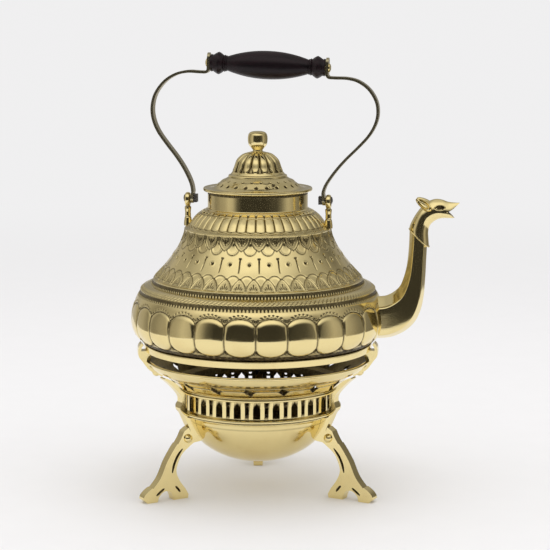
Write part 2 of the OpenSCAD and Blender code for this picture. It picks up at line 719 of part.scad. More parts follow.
// The brackets: a strap that is riveted under the rim, curls out round the base band, and
// carries a shelf on which the kettle rests. The curl is measured from the base's lower edge.
bracket_t = 2.6;
CURL = [[1.6, -8.2], [4.4, -4.4], [4.8, 0.4], [3.9, 4], [2.2, 6]];
TAIL = aside(FLARE, -seat_gap - bracket_t / 2);
rivet_place = 14;
BRACKET = smooth(concat(
    [for (i = [-3, 0, 3]) TAIL[rivet_place + i]],
    [for (p = CURL) [base_r + p[0], seat_z + p[1]]]
), 4);
module at_flare_rivet() {
    p = FLARE[rivet_place];
    h = heading(FLARE, rivet_place);
    translate([p[0], 0, p[1]]) rotate([0, atan2(h[0], h[1]), 0]) children();
}
module bracket(angle) {
    shelf_in = -5.6;
    shelf_out = 4.6;
    shelf_h = 3;
    color(BRASS) rotate(stand_turn + angle) difference() {
        union() {
            upright(strip(BRACKET, bracket_t), bracket_w);
            upright([
                [base_r + shelf_in, seat_z], [base_r + shelf_out, seat_z],
                [base_r + shelf_out, seat_z - shelf_h], [base_r, rim_top_z + 1.4],
                [base_r - 1.2, rim_top_z + seat_gap / 3], [base_r - 4.2, rim_top_z + seat_gap / 3],
                [base_r + shelf_in, seat_z - shelf_h]
            ], bracket_w);
        }
        turned(concat([[0, rim_z]], aside(FLARE, -seat_gap), [[rim_r, rim_top_z], [0, rim_top_z]]));
        bracket_rivet_shank(seat_gap / 3);
    }
}

module bracket_rivet_shank(gap = 0) {
    at_flare_rivet() shaft_x(-rim_wall - 0.4, seat_gap + bracket_t + 0.2, 1.6 + gap);
}
module bracket_rivets() {
    head = [[0, 0], [3.4, 0], [3.2, 1], [2.4, 2], [1.2, 2.6], [0, 2.6]];
    tail = [[0, 0], [2.6, 0], [2, 1], [0, 1.2]];
    color(BRASS) for (angle = BRACKET_ANGLES) rotate(stand_turn + angle) {
        bracket_rivet_shank();
        at_flare_rivet() {
            translate([seat_gap + bracket_t + 0.1, 0, 0]) rotate([0, 90, 0]) turned(head);
            translate([-rim_wall - 0.2, 0, 0]) rotate([0, -90, 0]) turned(tail);
        }
    }
}

// The burner: a font that stands on the bowl's floor, its screwed collar, the wick and its tube
font_z = bowl_clear + 4;
font_foot_r = 16;
collar_r = 15;
collar_h = 8;
collar_z = font_z + font_h;
flange_z = collar_z + collar_h;
wick_tube_top = flange_z + wick_tube_h;
wick_r = wick_tube_r - 1.4;
module burner_font() {
    mouth_r = 12;
    wall = 1.2;
    belly = 0.58 * font_h;
    color(BRASS) turned([
        [0, font_z], [font_foot_r, font_z], [font_r - 6, font_z + belly - 6],
        [font_r, font_z + belly], [font_r - 1, font_z + belly + 4],
        [collar_r + 4, collar_z - 1], [collar_r + 3, collar_z], [mouth_r, collar_z],
        [mouth_r, collar_z - wall], [collar_r + 3, collar_z - 1 - wall],
        [font_r - 2.2, font_z + belly + 3.4], [font_r - wall, font_z + belly],
        [font_r - 6.6, font_z + belly - 5], [font_foot_r - 1, font_z + wall], [0, font_z + wall]
    ]);
}
module burner_collar() {
    bore = wick_tube_r + seat_gap;
    color(BRASS) turned([
        [bore, collar_z], [collar_r, collar_z], [collar_r, collar_z + collar_h / 2],
        [collar_r - 3, flange_z], [bore, flange_z]
    ]);
}
module wick_tube() {
    flange_r = wick_tube_r + 2;
    flange_h = 1.2;
    dip = 8;
    color(BRASS) turned([
        [wick_r + seat_gap, collar_z - dip], [wick_tube_r, collar_z - dip], [wick_tube_r, flange_z],
        [flange_r, flange_z], [flange_r, flange_z + flange_h], [wick_tube_r, flange_z + flange_h],
        [wick_tube_r, wick_tube_top], [wick_r + seat_gap, wick_tube_top]
    ]);
}
module wick() {
    low = font_z + 4;
    proud = 3;
    color(COTTON) translate([0, 0, low]) cylinder(r = wick_r, h = wick_tube_top + proud - low, $fn = 48);
}

kettle_body();
base_pan();
neck_collar();
spout_tube();
spout_head();
ear(-1);  // ear_left
ear(1);  // ear_right
bolt(-1);  // bolt_left
bolt(1);  // bolt_right
bail(-1);  // bail_left
bail(1);  // bail_right
grip_rod();
grip();
lid_cover();
lid_bezel();
lid_knob();
knob_nut();
stand_rim();
gallery();
bowl();
leg(LEG_ANGLES[0]);  // leg_front_left
leg(LEG_ANGLES[1]);  // leg_front_right
leg(LEG_ANGLES[2]);  // leg_back
leg_screws();
leg_rivets();
bracket(BRACKET_ANGLES[0]);  // bracket_left
bracket(BRACKET_ANGLES[1]);  // bracket_right
bracket(BRACKET_ANGLES[2]);  // bracket_back
bracket_rivets();
burner_font();
burner_collar();
wick_tube();
wick();
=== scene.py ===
"""A brass spirit kettle with a swinging bail, on its pierced three-legged stand.

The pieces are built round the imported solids, in the same frame: +Z up, the spout along +X.
Sizes are in millimetres, and are turned into metres where a mesh is made.
"""
import logging
import math
from dataclasses import dataclass
from enum import Enum
from functools import cache
from typing import Callable, ClassVar, Protocol, Sequence

import bmesh
import bpy
import numpy as np
from mathutils import Matrix, Vector


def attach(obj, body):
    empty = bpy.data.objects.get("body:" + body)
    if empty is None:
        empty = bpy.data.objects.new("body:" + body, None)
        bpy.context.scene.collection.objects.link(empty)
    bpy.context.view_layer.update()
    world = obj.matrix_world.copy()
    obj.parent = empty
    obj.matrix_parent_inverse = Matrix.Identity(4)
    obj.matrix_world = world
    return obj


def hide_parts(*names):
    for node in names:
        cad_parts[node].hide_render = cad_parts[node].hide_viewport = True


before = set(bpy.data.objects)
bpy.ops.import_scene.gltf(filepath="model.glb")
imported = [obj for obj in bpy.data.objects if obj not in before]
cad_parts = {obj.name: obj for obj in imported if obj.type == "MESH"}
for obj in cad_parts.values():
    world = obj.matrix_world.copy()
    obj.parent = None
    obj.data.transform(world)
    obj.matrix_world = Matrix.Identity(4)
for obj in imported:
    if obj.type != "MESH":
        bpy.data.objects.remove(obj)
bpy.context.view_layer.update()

MM = 0.001
TURN = 2 * math.pi
SHARP_EDGE = 38.0
SHARP_RELIEF = 52.0
SECTOR_JOIN = 1e-5
WELD = 0.002
LOG = logging.getLogger("kettle")

Grid = np.ndarray
Point = tuple[float, float]
Rows = Sequence[Sequence[float]]
Colour = tuple[float, float, float, float]
Piece = bpy.types.Object
Material = bpy.types.Material
Tree = bpy.types.NodeTree
Node = bpy.types.Node
Socket = bpy.types.NodeSocket


class Body(Enum):
    """The bodies that move by themselves."""

    STAND = "stand"
    KETTLE = "kettle"
    BAIL = "bail"
    GRIP = "grip"
    LID = "lid"
    BURNER = "burner"


class Slot(Enum):
    """The record's finishes."""

    BRASS = "polished_brass"
    STRAP = "strap_brass"
    STEEL = "dark_steel"
    WOOD = "dark_wood"
    COTTON = "cotton"


class Relief(Protocol):
    """How one sector of a shell is embossed."""

    def __call__(self, across: Grid, along: Grid, half: Grid) -> tuple[Grid, Grid]:
        """Gives the relief.

        Args:
            across: Places across the sector, from its middle line.
            along: Places along the outline.
            half: Half the sector's width there.

        Returns:
            The height over the outline, and how dark each place is painted: tarnish in the grooves,
            and painted shade in some recesses.
        """


# Outlines


def ease(low: float, high: float, value: Grid) -> Grid:
    """Rises smoothly from 0 at low to 1 at high.

    Args:
        low: Where the rise starts.
        high: Where it ends, which may be below low for a fall.
        value: The values to map.

    Returns:
        The eased values.
    """
    t = np.clip((value - low) / (high - low), 0.0, 1.0)
    return t * t * (3 - 2 * t)


def window(low: float, rise: float, fall: float, high: float, value: Grid) -> Grid:
    """1 from rise to fall, which eases to 0 at low and at high."""
    return ease(low, rise, value) * ease(high, fall, value)


def stroke(distance: Grid, width: float) -> Grid:
    """A soft line: 1 on it, and nearly 0 at 1.7 widths from it."""
    return np.exp(-((distance / width) ** 2))


def through(points: Rows, steps: int) -> Grid:
    """A smooth curve through points.

    Args:
        points: The points, each a row of numbers.
        steps: Steps between two points.

    Returns:
        The curve's points, one row each.
    """
    p = np.asarray(points, float)
    last = len(p) - 1
    out = []
    for i in range(last):
        a, b, c, d = p[max(i - 1, 0)], p[i], p[i + 1], p[min(i + 2, last)]
        for j in range(steps):
            t = j / steps
            out.append(0.5 * (2 * b + (c - a) * t + (2 * a - 5 * b + 4 * c - d) * t * t
                              + (3 * b - a - 3 * c + d) * t ** 3))
    out.append(p[last])
    return np.array(out)


def lengths(points: Grid) -> Grid:
    """Length along a line at each of its points."""
    return np.concatenate([[0], np.cumsum(np.linalg.norm(np.diff(points, axis=0), axis=1))])


def evenly(points: Rows, step: float) -> Grid:
    """The same line with points at an even spacing, corners kept roughly.

    Args:
        points: The line's points.
        step: Wanted spacing.

    Returns:
        The new points, one row each.
    """
    p = np.asarray(points, float)
    arc = lengths(p)
    at = np.linspace(0, arc[-1], max(2, round(arc[-1] / step) + 1))
    return np.stack([np.interp(at, arc, p[:, k]) for k in range(p.shape[1])], 1)


@dataclass
class Outline:
    """A turned outline, from its upper or inner end to its lower or outer one."""

    points: Grid

    def arc(self) -> Grid:
        """Length along the outline at each point."""
        return lengths(self.points)

    def arc_at(self, r: float, z: float) -> float:
        """Length along the outline up to the place nearest to a point."""
        return float(self.arc()[np.argmin(np.hypot(*(self.points - (r, z)).T))])

    def normal(self) -> Grid:
        """The way out from the surface at each point."""
        d = np.gradient(self.points, axis=0)
        n = np.stack([-d[:, 1], d[:, 0]], 1)
        return n / np.linalg.norm(n, axis=1)[:, None]


# Meshes


def linked(name: str, data: bpy.types.ID) -> Piece:
    """A new object in the scene for a mesh, lamp or camera."""
    obj = bpy.data.objects.new(name, data)
    bpy.context.scene.collection.objects.link(obj)
    return obj


def solid(name: str, shape: bmesh.types.BMesh) -> Piece:
    """A new object made of an edited shape, which is used up.

    Args:
        name: The object's name.
        shape: The edited shape.

    Returns:
        The object.
    """
    mesh = bpy.data.meshes.new(name)
    shape.to_mesh(mesh)
    shape.free()
    return linked(name, mesh)


def discard(obj: Piece) -> None:
    """Removes an object and its mesh."""
    mesh = obj.data
    bpy.data.objects.remove(obj)
    bpy.data.meshes.remove(mesh)


def shift(x: float, y: float, z: float) -> Matrix:
    """A move by millimetres."""
    return Matrix.Translation(Vector((x, y, z)) * MM)


def spun(degrees: float, axis: str = "Z") -> Matrix:
    """A turn about an axis through the origin."""
    return Matrix.Rotation(math.radians(degrees), 4, axis)


def grid_object(name: str, points: Grid, wrap_columns: bool, wrap_rows: bool,
                groove: Grid | None = None) -> Piece:
    """Makes a mesh of four-sided faces from a grid of points.

    Args:
        name: The object's name.
        points: Rows by columns by three, in millimetres.
        wrap_columns: Whether the last column joins the first.
        wrap_rows: Whether the last row joins the first.
        groove: How dark each point is painted, from 0 to 1: tarnish in grooves, and painted shade in
            recesses and under parts.

    Returns:
        The new object, linked to the scene.
    """
    rows, columns = points.shape[:2]
    index = np.arange(rows * columns).reshape(rows, columns)
    if wrap_columns:
        index = np.concatenate([index, index[:, :1]], 1)
    if wrap_rows:
        index = np.concatenate([index, index[:1]], 0)
    quads = np.stack([index[:-1, :-1], index[:-1, 1:], index[1:, 1:], index[1:, :-1]], -1)
    quads = quads.reshape(-1, 4)
    mesh = bpy.data.meshes.new(name)
    mesh.vertices.add(rows * columns)
    mesh.vertices.foreach_set("co", (points.reshape(-1) * MM).astype(np.float32))
    mesh.loops.add(quads.size)
    mesh.loops.foreach_set("vertex_index", quads.reshape(-1).astype(np.int32))
    mesh.polygons.add(len(quads))
    mesh.polygons.foreach_set("loop_start", np.arange(0, quads.size, 4, dtype=np.int32))
    mesh.update(calc_edges=True)
    if groove is not None:
        mark = mesh.attributes.new("groove", "FLOAT", "POINT")
        mark.data.foreach_set("value", groove.reshape(-1).astype(np.float32))
    return linked(name, mesh)


def weld(obj: Piece) -> Piece:
    """Merges doubles, closes poles and turns the faces outwards.

    Args:
        obj: The object to mend.

    Returns:
        The same object.
    """
    shape = bmesh.new()
    shape.from_mesh(obj.data)
    bmesh.ops.remove_doubles(shape, verts=shape.verts, dist=WELD * MM)
    bmesh.ops.dissolve_degenerate(shape, edges=shape.edges, dist=WELD * MM * 0.5)
    if shape.calc_volume(signed=True) < 0:
        bmesh.ops.reverse_faces(shape, faces=shape.faces)
    shape.to_mesh(obj.data)
    shape.free()
    return obj


def turn_outwards(obj: Piece) -> None:
    """Flips a closed mesh whose faces point inwards.

    Args:
        obj: The object.
    """
    mesh = obj.data
    mesh.calc_loop_triangles()
    co = np.zeros(len(mesh.vertices) * 3)
    mesh.vertices.foreach_get("co", co)
    tri = np.zeros(len(mesh.loop_triangles) * 3, int)
    mesh.loop_triangles.foreach_get("vertices", tri)
    p = co.reshape(-1, 3)[tri.reshape(-1, 3)]
    if np.einsum("ij,ij->i", p[:, 0], np.cross(p[:, 1], p[:, 2])).sum() < 0:
        mesh.flip_normals()


def shade(obj: Piece, angle: float = SHARP_EDGE) -> Piece:
    """Shades an object smooth, with sharp edges past an angle in degrees.

    Args:
        obj: The object.
        angle: The angle.

    Returns:
        The same object.
    """
    mesh = obj.data
    mesh.polygons.foreach_set("use_smooth", np.ones(len(mesh.polygons), bool))
    mesh.set_sharp_from_angle(angle=math.radians(angle))
    mesh.update()
    return obj


def settle(obj: Piece, tree: Tree,
           values: dict[str, object]) -> Piece:
    """Runs a geometry tree on an object and keeps the result as a plain mesh.

    Args:
        obj: The object that the tree starts from.
        tree: The geometry tree.
        values: The tree's inputs, by their names.

    Returns:
        The same object with its new mesh and no modifier.
    """
    modifier = obj.modifiers.new("shape", "NODES")
    modifier.node_group = tree
    for item in tree.interface.items_tree:
        if item.item_type == "SOCKET" and item.in_out == "INPUT" and item.name in values:
            modifier[item.identifier] = values[item.name]
    return bake(obj)


def bake(obj: Piece) -> Piece:
    """Turns an object with live modifiers into a plain mesh.

    Args:
        obj: The object.

    Returns:
        The same object.
    """
    graph = bpy.context.evaluated_depsgraph_get()
    mesh = bpy.data.meshes.new_from_object(obj.evaluated_get(graph))
    obj.modifiers.clear()
    old, obj.data = obj.data, mesh
    bpy.data.meshes.remove(old)
    return obj


def capped(name: str, rings: Grid) -> Piece:
    """A closed solid over rings, with a middle point at each end."""
    ends = [np.repeat(rings[i].mean(0)[None], rings.shape[1], 0)[None] for i in (0, -1)]
    return weld(grid_object(name, np.concatenate([ends[0], rings, ends[1]]), True, False))


def turned(name: str, profile: Sequence[Point], columns: int = 192,
           tarnish_and_shade: Callable[[Grid, Grid], Grid] | None = None) -> Piece:
    """Turns a closed outline round a standing axis.

    Args:
        name: The object's name.
        profile: The outline's corners, closed from the last to the first.
        columns: Steps round the axis.
        tarnish_and_shade: Gives how dark each place is painted, from its radius and height: tarnish,
            and painted shade.

    Returns:
        The turned object.
    """
    p = np.asarray(profile, float)
    angle = np.linspace(0, TURN, columns, endpoint=False)
    points = np.stack([p[:, :1] * np.cos(angle), p[:, :1] * np.sin(angle),
                       np.repeat(p[:, 1:], columns, 1)], -1)
    marks = None
    if tarnish_and_shade is not None:
        marks = np.repeat(np.asarray(tarnish_and_shade(p[:, 0], p[:, 1]), float)[:, None], columns, 1)
    return weld(grid_object(name, points, True, True, marks))


def prism(name: str, outline: Sequence[Point], thickness: float,
          matrix: Matrix | None = None) -> Piece:
    """A flat plate that stands in the XZ plane.

    Args:
        name: The object's name.
        outline: The plate's corners, as X and Z.
        thickness: Its size along Y, half on each side.
        matrix: Where it goes.

    Returns:
        The closed plate.
    """
    shape = bmesh.new()
    near = [shape.verts.new((x * MM, -thickness / 2 * MM, z * MM)) for x, z in outline]
    far = [shape.verts.new((v.co.x, thickness / 2 * MM, v.co.z)) for v in near]
    shape.faces.new(near)
    shape.faces.new(far[::-1])
    for i, corner in enumerate(near):
        shape.faces.new((near[i - 1], far[i - 1], far[i], corner))
    bmesh.ops.recalc_face_normals(shape, faces=shape.faces)
    return moved(solid(name, shape), matrix or Matrix())


def rounded(corners: Rows, steps: int = 4) -> list[Point]:
    """Rounds a closed outline's corners.

    Args:
        corners: Radius, height and, where it isn't sharp, the rounding's size.
        steps: Points for each rounding.

    Returns:
        The rounded outline.
    """
    out: list[Point] = []
    for i, corner in enumerate(corners):
        p = np.array(corner[:2], float)
        size = corner[2] if len(corner) > 2 else 0.0
        if not size:
            out.append((p[0], p[1]))
            continue
        a = np.array(corners[i - 1][:2], float) - p
        b = np.array(corners[(i + 1) % len(corners)][:2], float) - p
        a, b = (v / np.linalg.norm(v) * min(size, np.linalg.norm(v) * 0.49) for v in (a, b))
        for k in range(steps + 1):
            t = k / steps
            q = p + a * (1 - t) ** 2 + b * t ** 2
            out.append((q[0], q[1]))
    return out


def moved(obj: Piece, matrix: Matrix) -> Piece:
    """Moves an object's mesh, and leaves the object at the origin.

    Args:
        obj: The object.
        matrix: Where its mesh goes.

    Returns:
        The same object.
    """
    obj.data.transform(matrix)
    obj.data.update()
    turn_outwards(obj)
    return obj


def joined(name: str, parts: Sequence[Piece]) -> Piece:
    """Makes one object of several meshes.

    Args:
        name: The new object's name.
        parts: The objects, which are used up.

    Returns:
        The joined object.
    """
    shape = bmesh.new()
    for part in parts:
        shape.from_mesh(part.data)
        discard(part)
    return solid(name, shape)


def cut(obj: Piece, tools: Sequence[Piece],
        operation: str = "DIFFERENCE") -> Piece:
    """Cuts closed tools out of an object, or adds them, and removes the tools.

    Args:
        obj: The object.
        tools: The tools, which are used up.
        operation: What is done with them.

    Returns:
        The same object.
    """
    for tool in tools:
        modifier = obj.modifiers.new("cut", "BOOLEAN")
        modifier.operation = operation
        modifier.solver = "EXACT"
        modifier.object = tool
    bake(obj)
    for tool in tools:
        discard(tool)
    return obj


def softened(obj: Piece, width: float, segments: int = 2,
             angle: float = 32) -> Piece:
    """Rounds an object's sharp edges, and keeps its flat faces flat to the light.

    Args:
        obj: The object.
        width: Size of the rounding in millimetres.
        segments: Steps in the rounding.
        angle: Smallest angle between faces, in degrees, that is rounded.

    Returns:
        The same object.
    """
    modifier = obj.modifiers.new("soft edges", "BEVEL")
    modifier.width = width * MM
    modifier.segments = segments
    modifier.limit_method = "ANGLE"
    modifier.angle_limit = math.radians(angle)
    modifier.use_clamp_overlap = True
    modifier.miter_outer = "MITER_ARC"
    shade(obj, angle + 8)
    weights = obj.modifiers.new("flat faces", "WEIGHTED_NORMAL")
    weights.weight = 80
    weights.keep_sharp = True
    return bake(obj)


def darken(obj: Piece, inside: Callable[[Grid], Grid], depth: float = 1.0) -> None:
    """Marks the places that a test picks as darker, for tarnish and for painted shade.

    Args:
        obj: The object.
        inside: Gives a weight for each place in millimetres.
        depth: How dark the places get.
    """
    data = obj.data
    layer = data.attributes.get("groove") or data.attributes.new("groove", "FLOAT", "POINT")
    spots = np.empty(len(data.vertices) * 3)
    data.vertices.foreach_get("co", spots)
    values = np.zeros(len(data.vertices))
    layer.data.foreach_get("value", values)
    values = np.maximum(values, depth * inside(spots.reshape(-1, 3) / MM))
    layer.data.foreach_set("value", values)


def seen_from(matrix: Matrix, spots: Grid) -> Grid:
    """Places in millimetres, as seen from a moved and turned frame."""
    back = np.array(matrix.inverted())
    return spots @ back[:3, :3].T + back[:3, 3] / MM


def within(matrices: Sequence[Matrix], low: Sequence[float], high: Sequence[float],
           spots: Grid) -> Grid:
    """Whether each place lies in one of several like boxes, each with its own place.

    Args:
        matrices: The boxes' places.
        low: Their lowest corner in millimetres.
        high: Their highest corner.
        spots: The places to test.

    Returns:
        One truth value for each place.
    """
    found = np.zeros(len(spots), bool)
    for matrix in matrices:
        local = seen_from(matrix, spots)
        found |= np.all((local > np.array(low)) & (local < np.array(high)), axis=1)
    return found


def copy_of(node: str) -> Piece:
    """A merged copy of a solid's mesh.

    Args:
        node: The solid's name.

    Returns:
        The copy, with flat faces made whole.
    """
    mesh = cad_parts[node].data.copy()
    mesh.name = f"{node}_visual"
    shape = bmesh.new()
    shape.from_mesh(mesh)
    bmesh.ops.remove_doubles(shape, verts=shape.verts, dist=0.001 * MM)
    bmesh.ops.dissolve_limit(shape, angle_limit=math.radians(0.02), verts=shape.verts,
                             edges=shape.edges)
    shape.to_mesh(mesh)
    shape.free()
    mesh.materials.clear()
    for layer in list(mesh.uv_layers):
        mesh.uv_layers.remove(layer)
    if mesh.has_custom_normals:
        mesh.normals_split_custom_set([(0, 0, 0)] * len(mesh.loops))
    return linked(mesh.name, mesh)


# Node trees


@dataclass
class Board:
    """Adds and joins nodes in one tree."""

    tree: Tree

    @classmethod
    def start(cls, name: str, kind: str, inputs: dict[str, str],
              outputs: dict[str, str]) -> tuple["Board", Node, Node]:
        """Starts a tree with named inputs and outputs.

        Args:
            name: The tree's name.
            kind: The tree's type.
            inputs: Each input's name and kind of socket.
            outputs: Each output's name and kind of socket.

        Returns:
            The tree's board, and its input and output nodes.
        """
        tree = bpy.data.node_groups.new(name, kind)
        for way, sockets in (("INPUT", inputs), ("OUTPUT", outputs)):
            for label, socket in sockets.items():
                tree.interface.new_socket(label, in_out=way, socket_type=f"NodeSocket{socket}")
        board = cls(tree)
        return board, board.add("NodeGroupInput"), board.add("NodeGroupOutput")

    def add(self, kind: str, inputs: dict[object, object] | None = None,
            **settings: object) -> Node:
        """Adds a node.

        Args:
            kind: The node's type.
            inputs: Numbers or sockets for its inputs, by name or place.
            **settings: The node's own settings.

        Returns:
            The node.
        """
        node = self.tree.nodes.new(kind)
        for key, value in settings.items():
            setattr(node, key, value)
        for key, value in (inputs or {}).items():
            if isinstance(value, Socket):
                self.tree.links.new(value, node.inputs[key])
            else:
                node.inputs[key].default_value = value
        return node

    def math(self, operation: str, a: object, b: object = 0.0, clamp: bool = False) -> Socket:
        """A Math node's result."""
        return self.add("ShaderNodeMath", {0: a, 1: b}, operation=operation,
                        use_clamp=clamp).outputs[0]

    def between(self, value: object, low: float, high: float, start: float = 0.0,
                end: float = 1.0) -> Socket:
        """A smooth rise of a value from start to end, as it goes from low to high."""
        return self.add("ShaderNodeMapRange", {"Value": value, "From Min": low, "From Max": high,
                                               "To Min": start, "To Max": end},
                        interpolation_type="SMOOTHSTEP").outputs["Result"]

    def mix(self, factor: object, a: object, b: object) -> Socket:
        """A mix of two colours."""
        return self.add("ShaderNodeMix", {0: factor, 6: a, 7: b}, data_type="RGBA").outputs[2]

    def noise(self, where: Socket, scale: float, detail: float, **more: float) -> Socket:
        """A noise pattern, whose other inputs go by their names."""
        return self.add("ShaderNodeTexNoise", {"Vector": where, "Scale": scale,
                                               "Detail": detail, **more}).outputs["Fac"]

    def where(self) -> Socket:
        """The place on the object."""
        return self.add("ShaderNodeTexCoord").outputs["Object"]

    def group(self, tree: Tree, inputs: dict[object, object]) -> Node:
        """Places a shader group."""
        return self.add("ShaderNodeGroup", inputs, node_tree=tree)

    def bump(self, shader: Node, height: Socket, strength: float, distance: float) -> None:
        """Turns a height into a shader's normal."""
        self.join(self.add("ShaderNodeBump", {
            "Height": height, "Strength": strength, "Distance": distance}).outputs["Normal"],
            shader.inputs["Normal"])

    def join(self, a: Socket, b: Socket) -> None:
        """Joins two sockets."""
        self.tree.links.new(a, b)


def rgb(r: float, g: float, b: float) -> Colour:
    """A linear colour with full alpha."""
    return (r, g, b, 1.0)


class Trees:
    """The geometry trees, each built once."""

    @staticmethod
    def _spread(board: Board, points: Socket, piece: Socket, turn: Socket) -> Socket:
        """Sets turned copies of a piece on points and makes them real."""
        many = board.add("GeometryNodeInstanceOnPoints", {
            "Points": points, "Instance": piece, "Rotation": turn})
        return board.add("GeometryNodeRealizeInstances", {0: many.outputs[0]}).outputs[0]

    @staticmethod
    def _dress(board: Board, shape: Socket, start: Node, end: Node) -> Tree:
        """Gives the shape its material and ends the tree."""
        board.join(board.add("GeometryNodeSetMaterial", {
            0: shape, "Material": start.outputs["Material"]}).outputs[0], end.inputs[0])
        return board.tree

    @staticmethod
    def ring() -> Tree:
        """A tree that repeats one sector round the axis and joins the sectors.

        Returns:
            The tree, with inputs Count, Join and Material.
        """
        board, start, end = Board.start("sectors in a ring", "GeometryNodeTree", {
            "Geometry": "Geometry", "Count": "Int", "Join": "Float", "Material": "Material"},
            {"Geometry": "Geometry"})
        points = board.add("GeometryNodePoints", {"Count": start.outputs["Count"]})
        index = board.add("GeometryNodeInputIndex").outputs[0]
        angle = board.math("DIVIDE", board.math("MULTIPLY", index, TURN), start.outputs["Count"])
        spin = board.add("FunctionNodeAxisAngleToRotation", {"Axis": (0, 0, 1), "Angle": angle})
        real = Trees._spread(board, points.outputs[0], start.outputs["Geometry"],
                             spin.outputs[0])
        whole = board.add("GeometryNodeMergeByDistance", {
            "Geometry": real, "Distance": start.outputs["Join"]})
        return Trees._dress(board, whole.outputs[0], start, end)

    @staticmethod
    def places() -> Tree:
        """A tree that sets an ornament on each point, facing along its own direction.

        Returns:
            The tree, with inputs Ornament and Material.
        """
        board, start, end = Board.start("ornaments in their places", "GeometryNodeTree", {
            "Geometry": "Geometry", "Ornament": "Object", "Material": "Material"},
            {"Geometry": "Geometry"})
        facing = board.add("GeometryNodeInputNamedAttribute", {"Name": "facing"},
                           data_type="FLOAT_VECTOR")
        aim = board.add("FunctionNodeAlignRotationToVector", {"Vector": facing.outputs[0]},
                        axis="Z")
        piece = board.add("GeometryNodeObjectInfo", {"Object": start.outputs["Ornament"]})
        real = Trees._spread(board, start.outputs["Geometry"], piece.outputs["Geometry"],
                             aim.outputs[0])
        return Trees._dress(board, real, start, end)


def sector(name: str, outline: Outline, count: int, columns: int, relief: Relief,
           phase: float = 0.0, wall: float = 2.8, inner_rows: int = 7) -> Piece:
    """One sector of a turned shell whose outside is embossed.

    Args:
        name: The object's name.
        outline: The outside's outline.
        count: How many sectors make the ring.
        columns: Steps across the sector.
        relief: Gives height and painted darkness (tarnish, and painted shade) from the place across
            and along, and the half width.
        phase: The first sector's angle in degrees.
        wall: Thickness of the shell.
        inner_rows: Rows on the plain inside.

    Returns:
        The sector, open at its two sides.
    """
    half = math.pi / count
    angle = np.linspace(-half, half, columns + 1)
    r, z, n = outline.points[:, :1], outline.points[:, 1:], outline.normal()
    height, groove = relief(angle[None, :] * r, outline.arc()[:, None], half * r)
    height, groove = (np.broadcast_to(v, (len(r), columns + 1)) for v in (height, groove))
    out_r, out_z = r + n[:, :1] * height, z + n[:, 1:] * height
    pick = np.linspace(len(r) - 1, 0, inner_rows).round().astype(int)
    in_r = (r - n[:, :1] * wall)[pick] + 0 * angle
    in_z = (z - n[:, 1:] * wall)[pick] + 0 * angle
    all_r, all_z = np.concatenate([out_r, in_r]), np.concatenate([out_z, in_z])
    angle = angle + math.radians(phase)
    points = np.stack([all_r * np.cos(angle), all_r * np.sin(angle), all_z], -1)
    marks = np.concatenate([groove, np.full((inner_rows, columns + 1), 0.7)])
    return grid_object(name, points, False, True, marks)


# Finishes


class Groups:
    """Shader groups that several finishes share, each built once."""

    @staticmethod
    @cache
    def patina() -> Tree:
        """Clean metal on the high places, dark where tarnish and painted shade are marked, faint
        clouds between.

        Returns:
            The group.
        """
        board, start, end = Board.start("patina", "ShaderNodeTree", {
            "Groove": "Float", "Clean": "Color", "Warm": "Color", "Dark": "Color",
            "Clouds": "Float", "Rough": "Float"}, {"Colour": "Color", "Roughness": "Float"})
        where = board.where()
        cloud = board.noise(where, 38.0, 4.0, Roughness=0.6)
        specks = board.noise(where, 420.0, 3.0, Roughness=0.7)
        veil = board.math("MULTIPLY", board.between(cloud, 0.45, 0.75), start.outputs["Clouds"])
        spots = board.math("MULTIPLY", board.between(specks, 0.62, 0.78),
                           board.math("MULTIPLY", start.outputs["Clouds"], 0.8))
        base = board.mix(veil, start.outputs["Clean"], start.outputs["Warm"])
        worn = board.mix(spots, base, start.outputs["Warm"])
        # The mark darkens the colour: tarnish in the grooves, and painted shade where the mark was set
        # for shade.
        depth = board.math("MULTIPLY", start.outputs["Groove"], board.between(
            specks, 0.2, 0.6, 0.75, 1.0), clamp=True)
        board.join(board.mix(depth, worn, start.outputs["Dark"]), end.inputs["Colour"])
        rough = board.math("ADD", start.outputs["Rough"], board.math("MULTIPLY", veil, 0.12))
        rough = board.math("ADD", rough, board.math("MULTIPLY", spots, 0.2))
        board.join(board.math("ADD", rough, board.math("MULTIPLY", depth, 0.35), clamp=True),
                   end.inputs["Roughness"])
        return board.tree

    @staticmethod
    @cache
    def polish() -> Tree:
        """The slight waves and fine scratches that polishing by hand leaves.

        Returns:
            The group.
        """
        board, start, end = Board.start("hand polish", "ShaderNodeTree", {
            "Waves": "Float", "Scratches": "Float"}, {"Height": "Float"})
        where = board.where()
        wave = board.noise(where, 42.0, 1.5, Roughness=0.4)
        flat = board.add("ShaderNodeMapping", {"Vector": where, "Scale": (60.0, 60.0, 900.0)})
        line = board.noise(flat.outputs[0], 1.0, 3.0)
        board.join(board.math("ADD", board.math("MULTIPLY", wave, start.outputs["Waves"]),
                              board.math("MULTIPLY", line, start.outputs["Scratches"])),
                   end.inputs["Height"])
        return board.tree

    @staticmethod
    @cache
    def grain() -> Tree:
        """Long wood grain along X, with pores.

        Returns:
            The group.
        """
        board, start, end = Board.start("wood grain", "ShaderNodeTree", {
            "Light": "Color", "Dark": "Color"}, {"Colour": "Color", "Height": "Float"})
        long = board.add("ShaderNodeMapping", {"Vector": board.where(),
                                               "Scale": (14.0, 160.0, 160.0)}).outputs[0]
        streak = board.noise(long, 1.6, 5.0, Roughness=0.65, Distortion=0.6)
        pore = board.noise(long, 9.0, 2.0)
        tone = board.between(streak, 0.3, 0.7)
        pores = board.between(pore, 0.6, 0.72)
        board.join(board.mix(tone, start.outputs["Dark"], start.outputs["Light"]),
                   end.inputs["Colour"])
        board.join(board.math("SUBTRACT", board.math("MULTIPLY", tone, 0.3), pores),
                   end.inputs["Height"])
        return board.tree


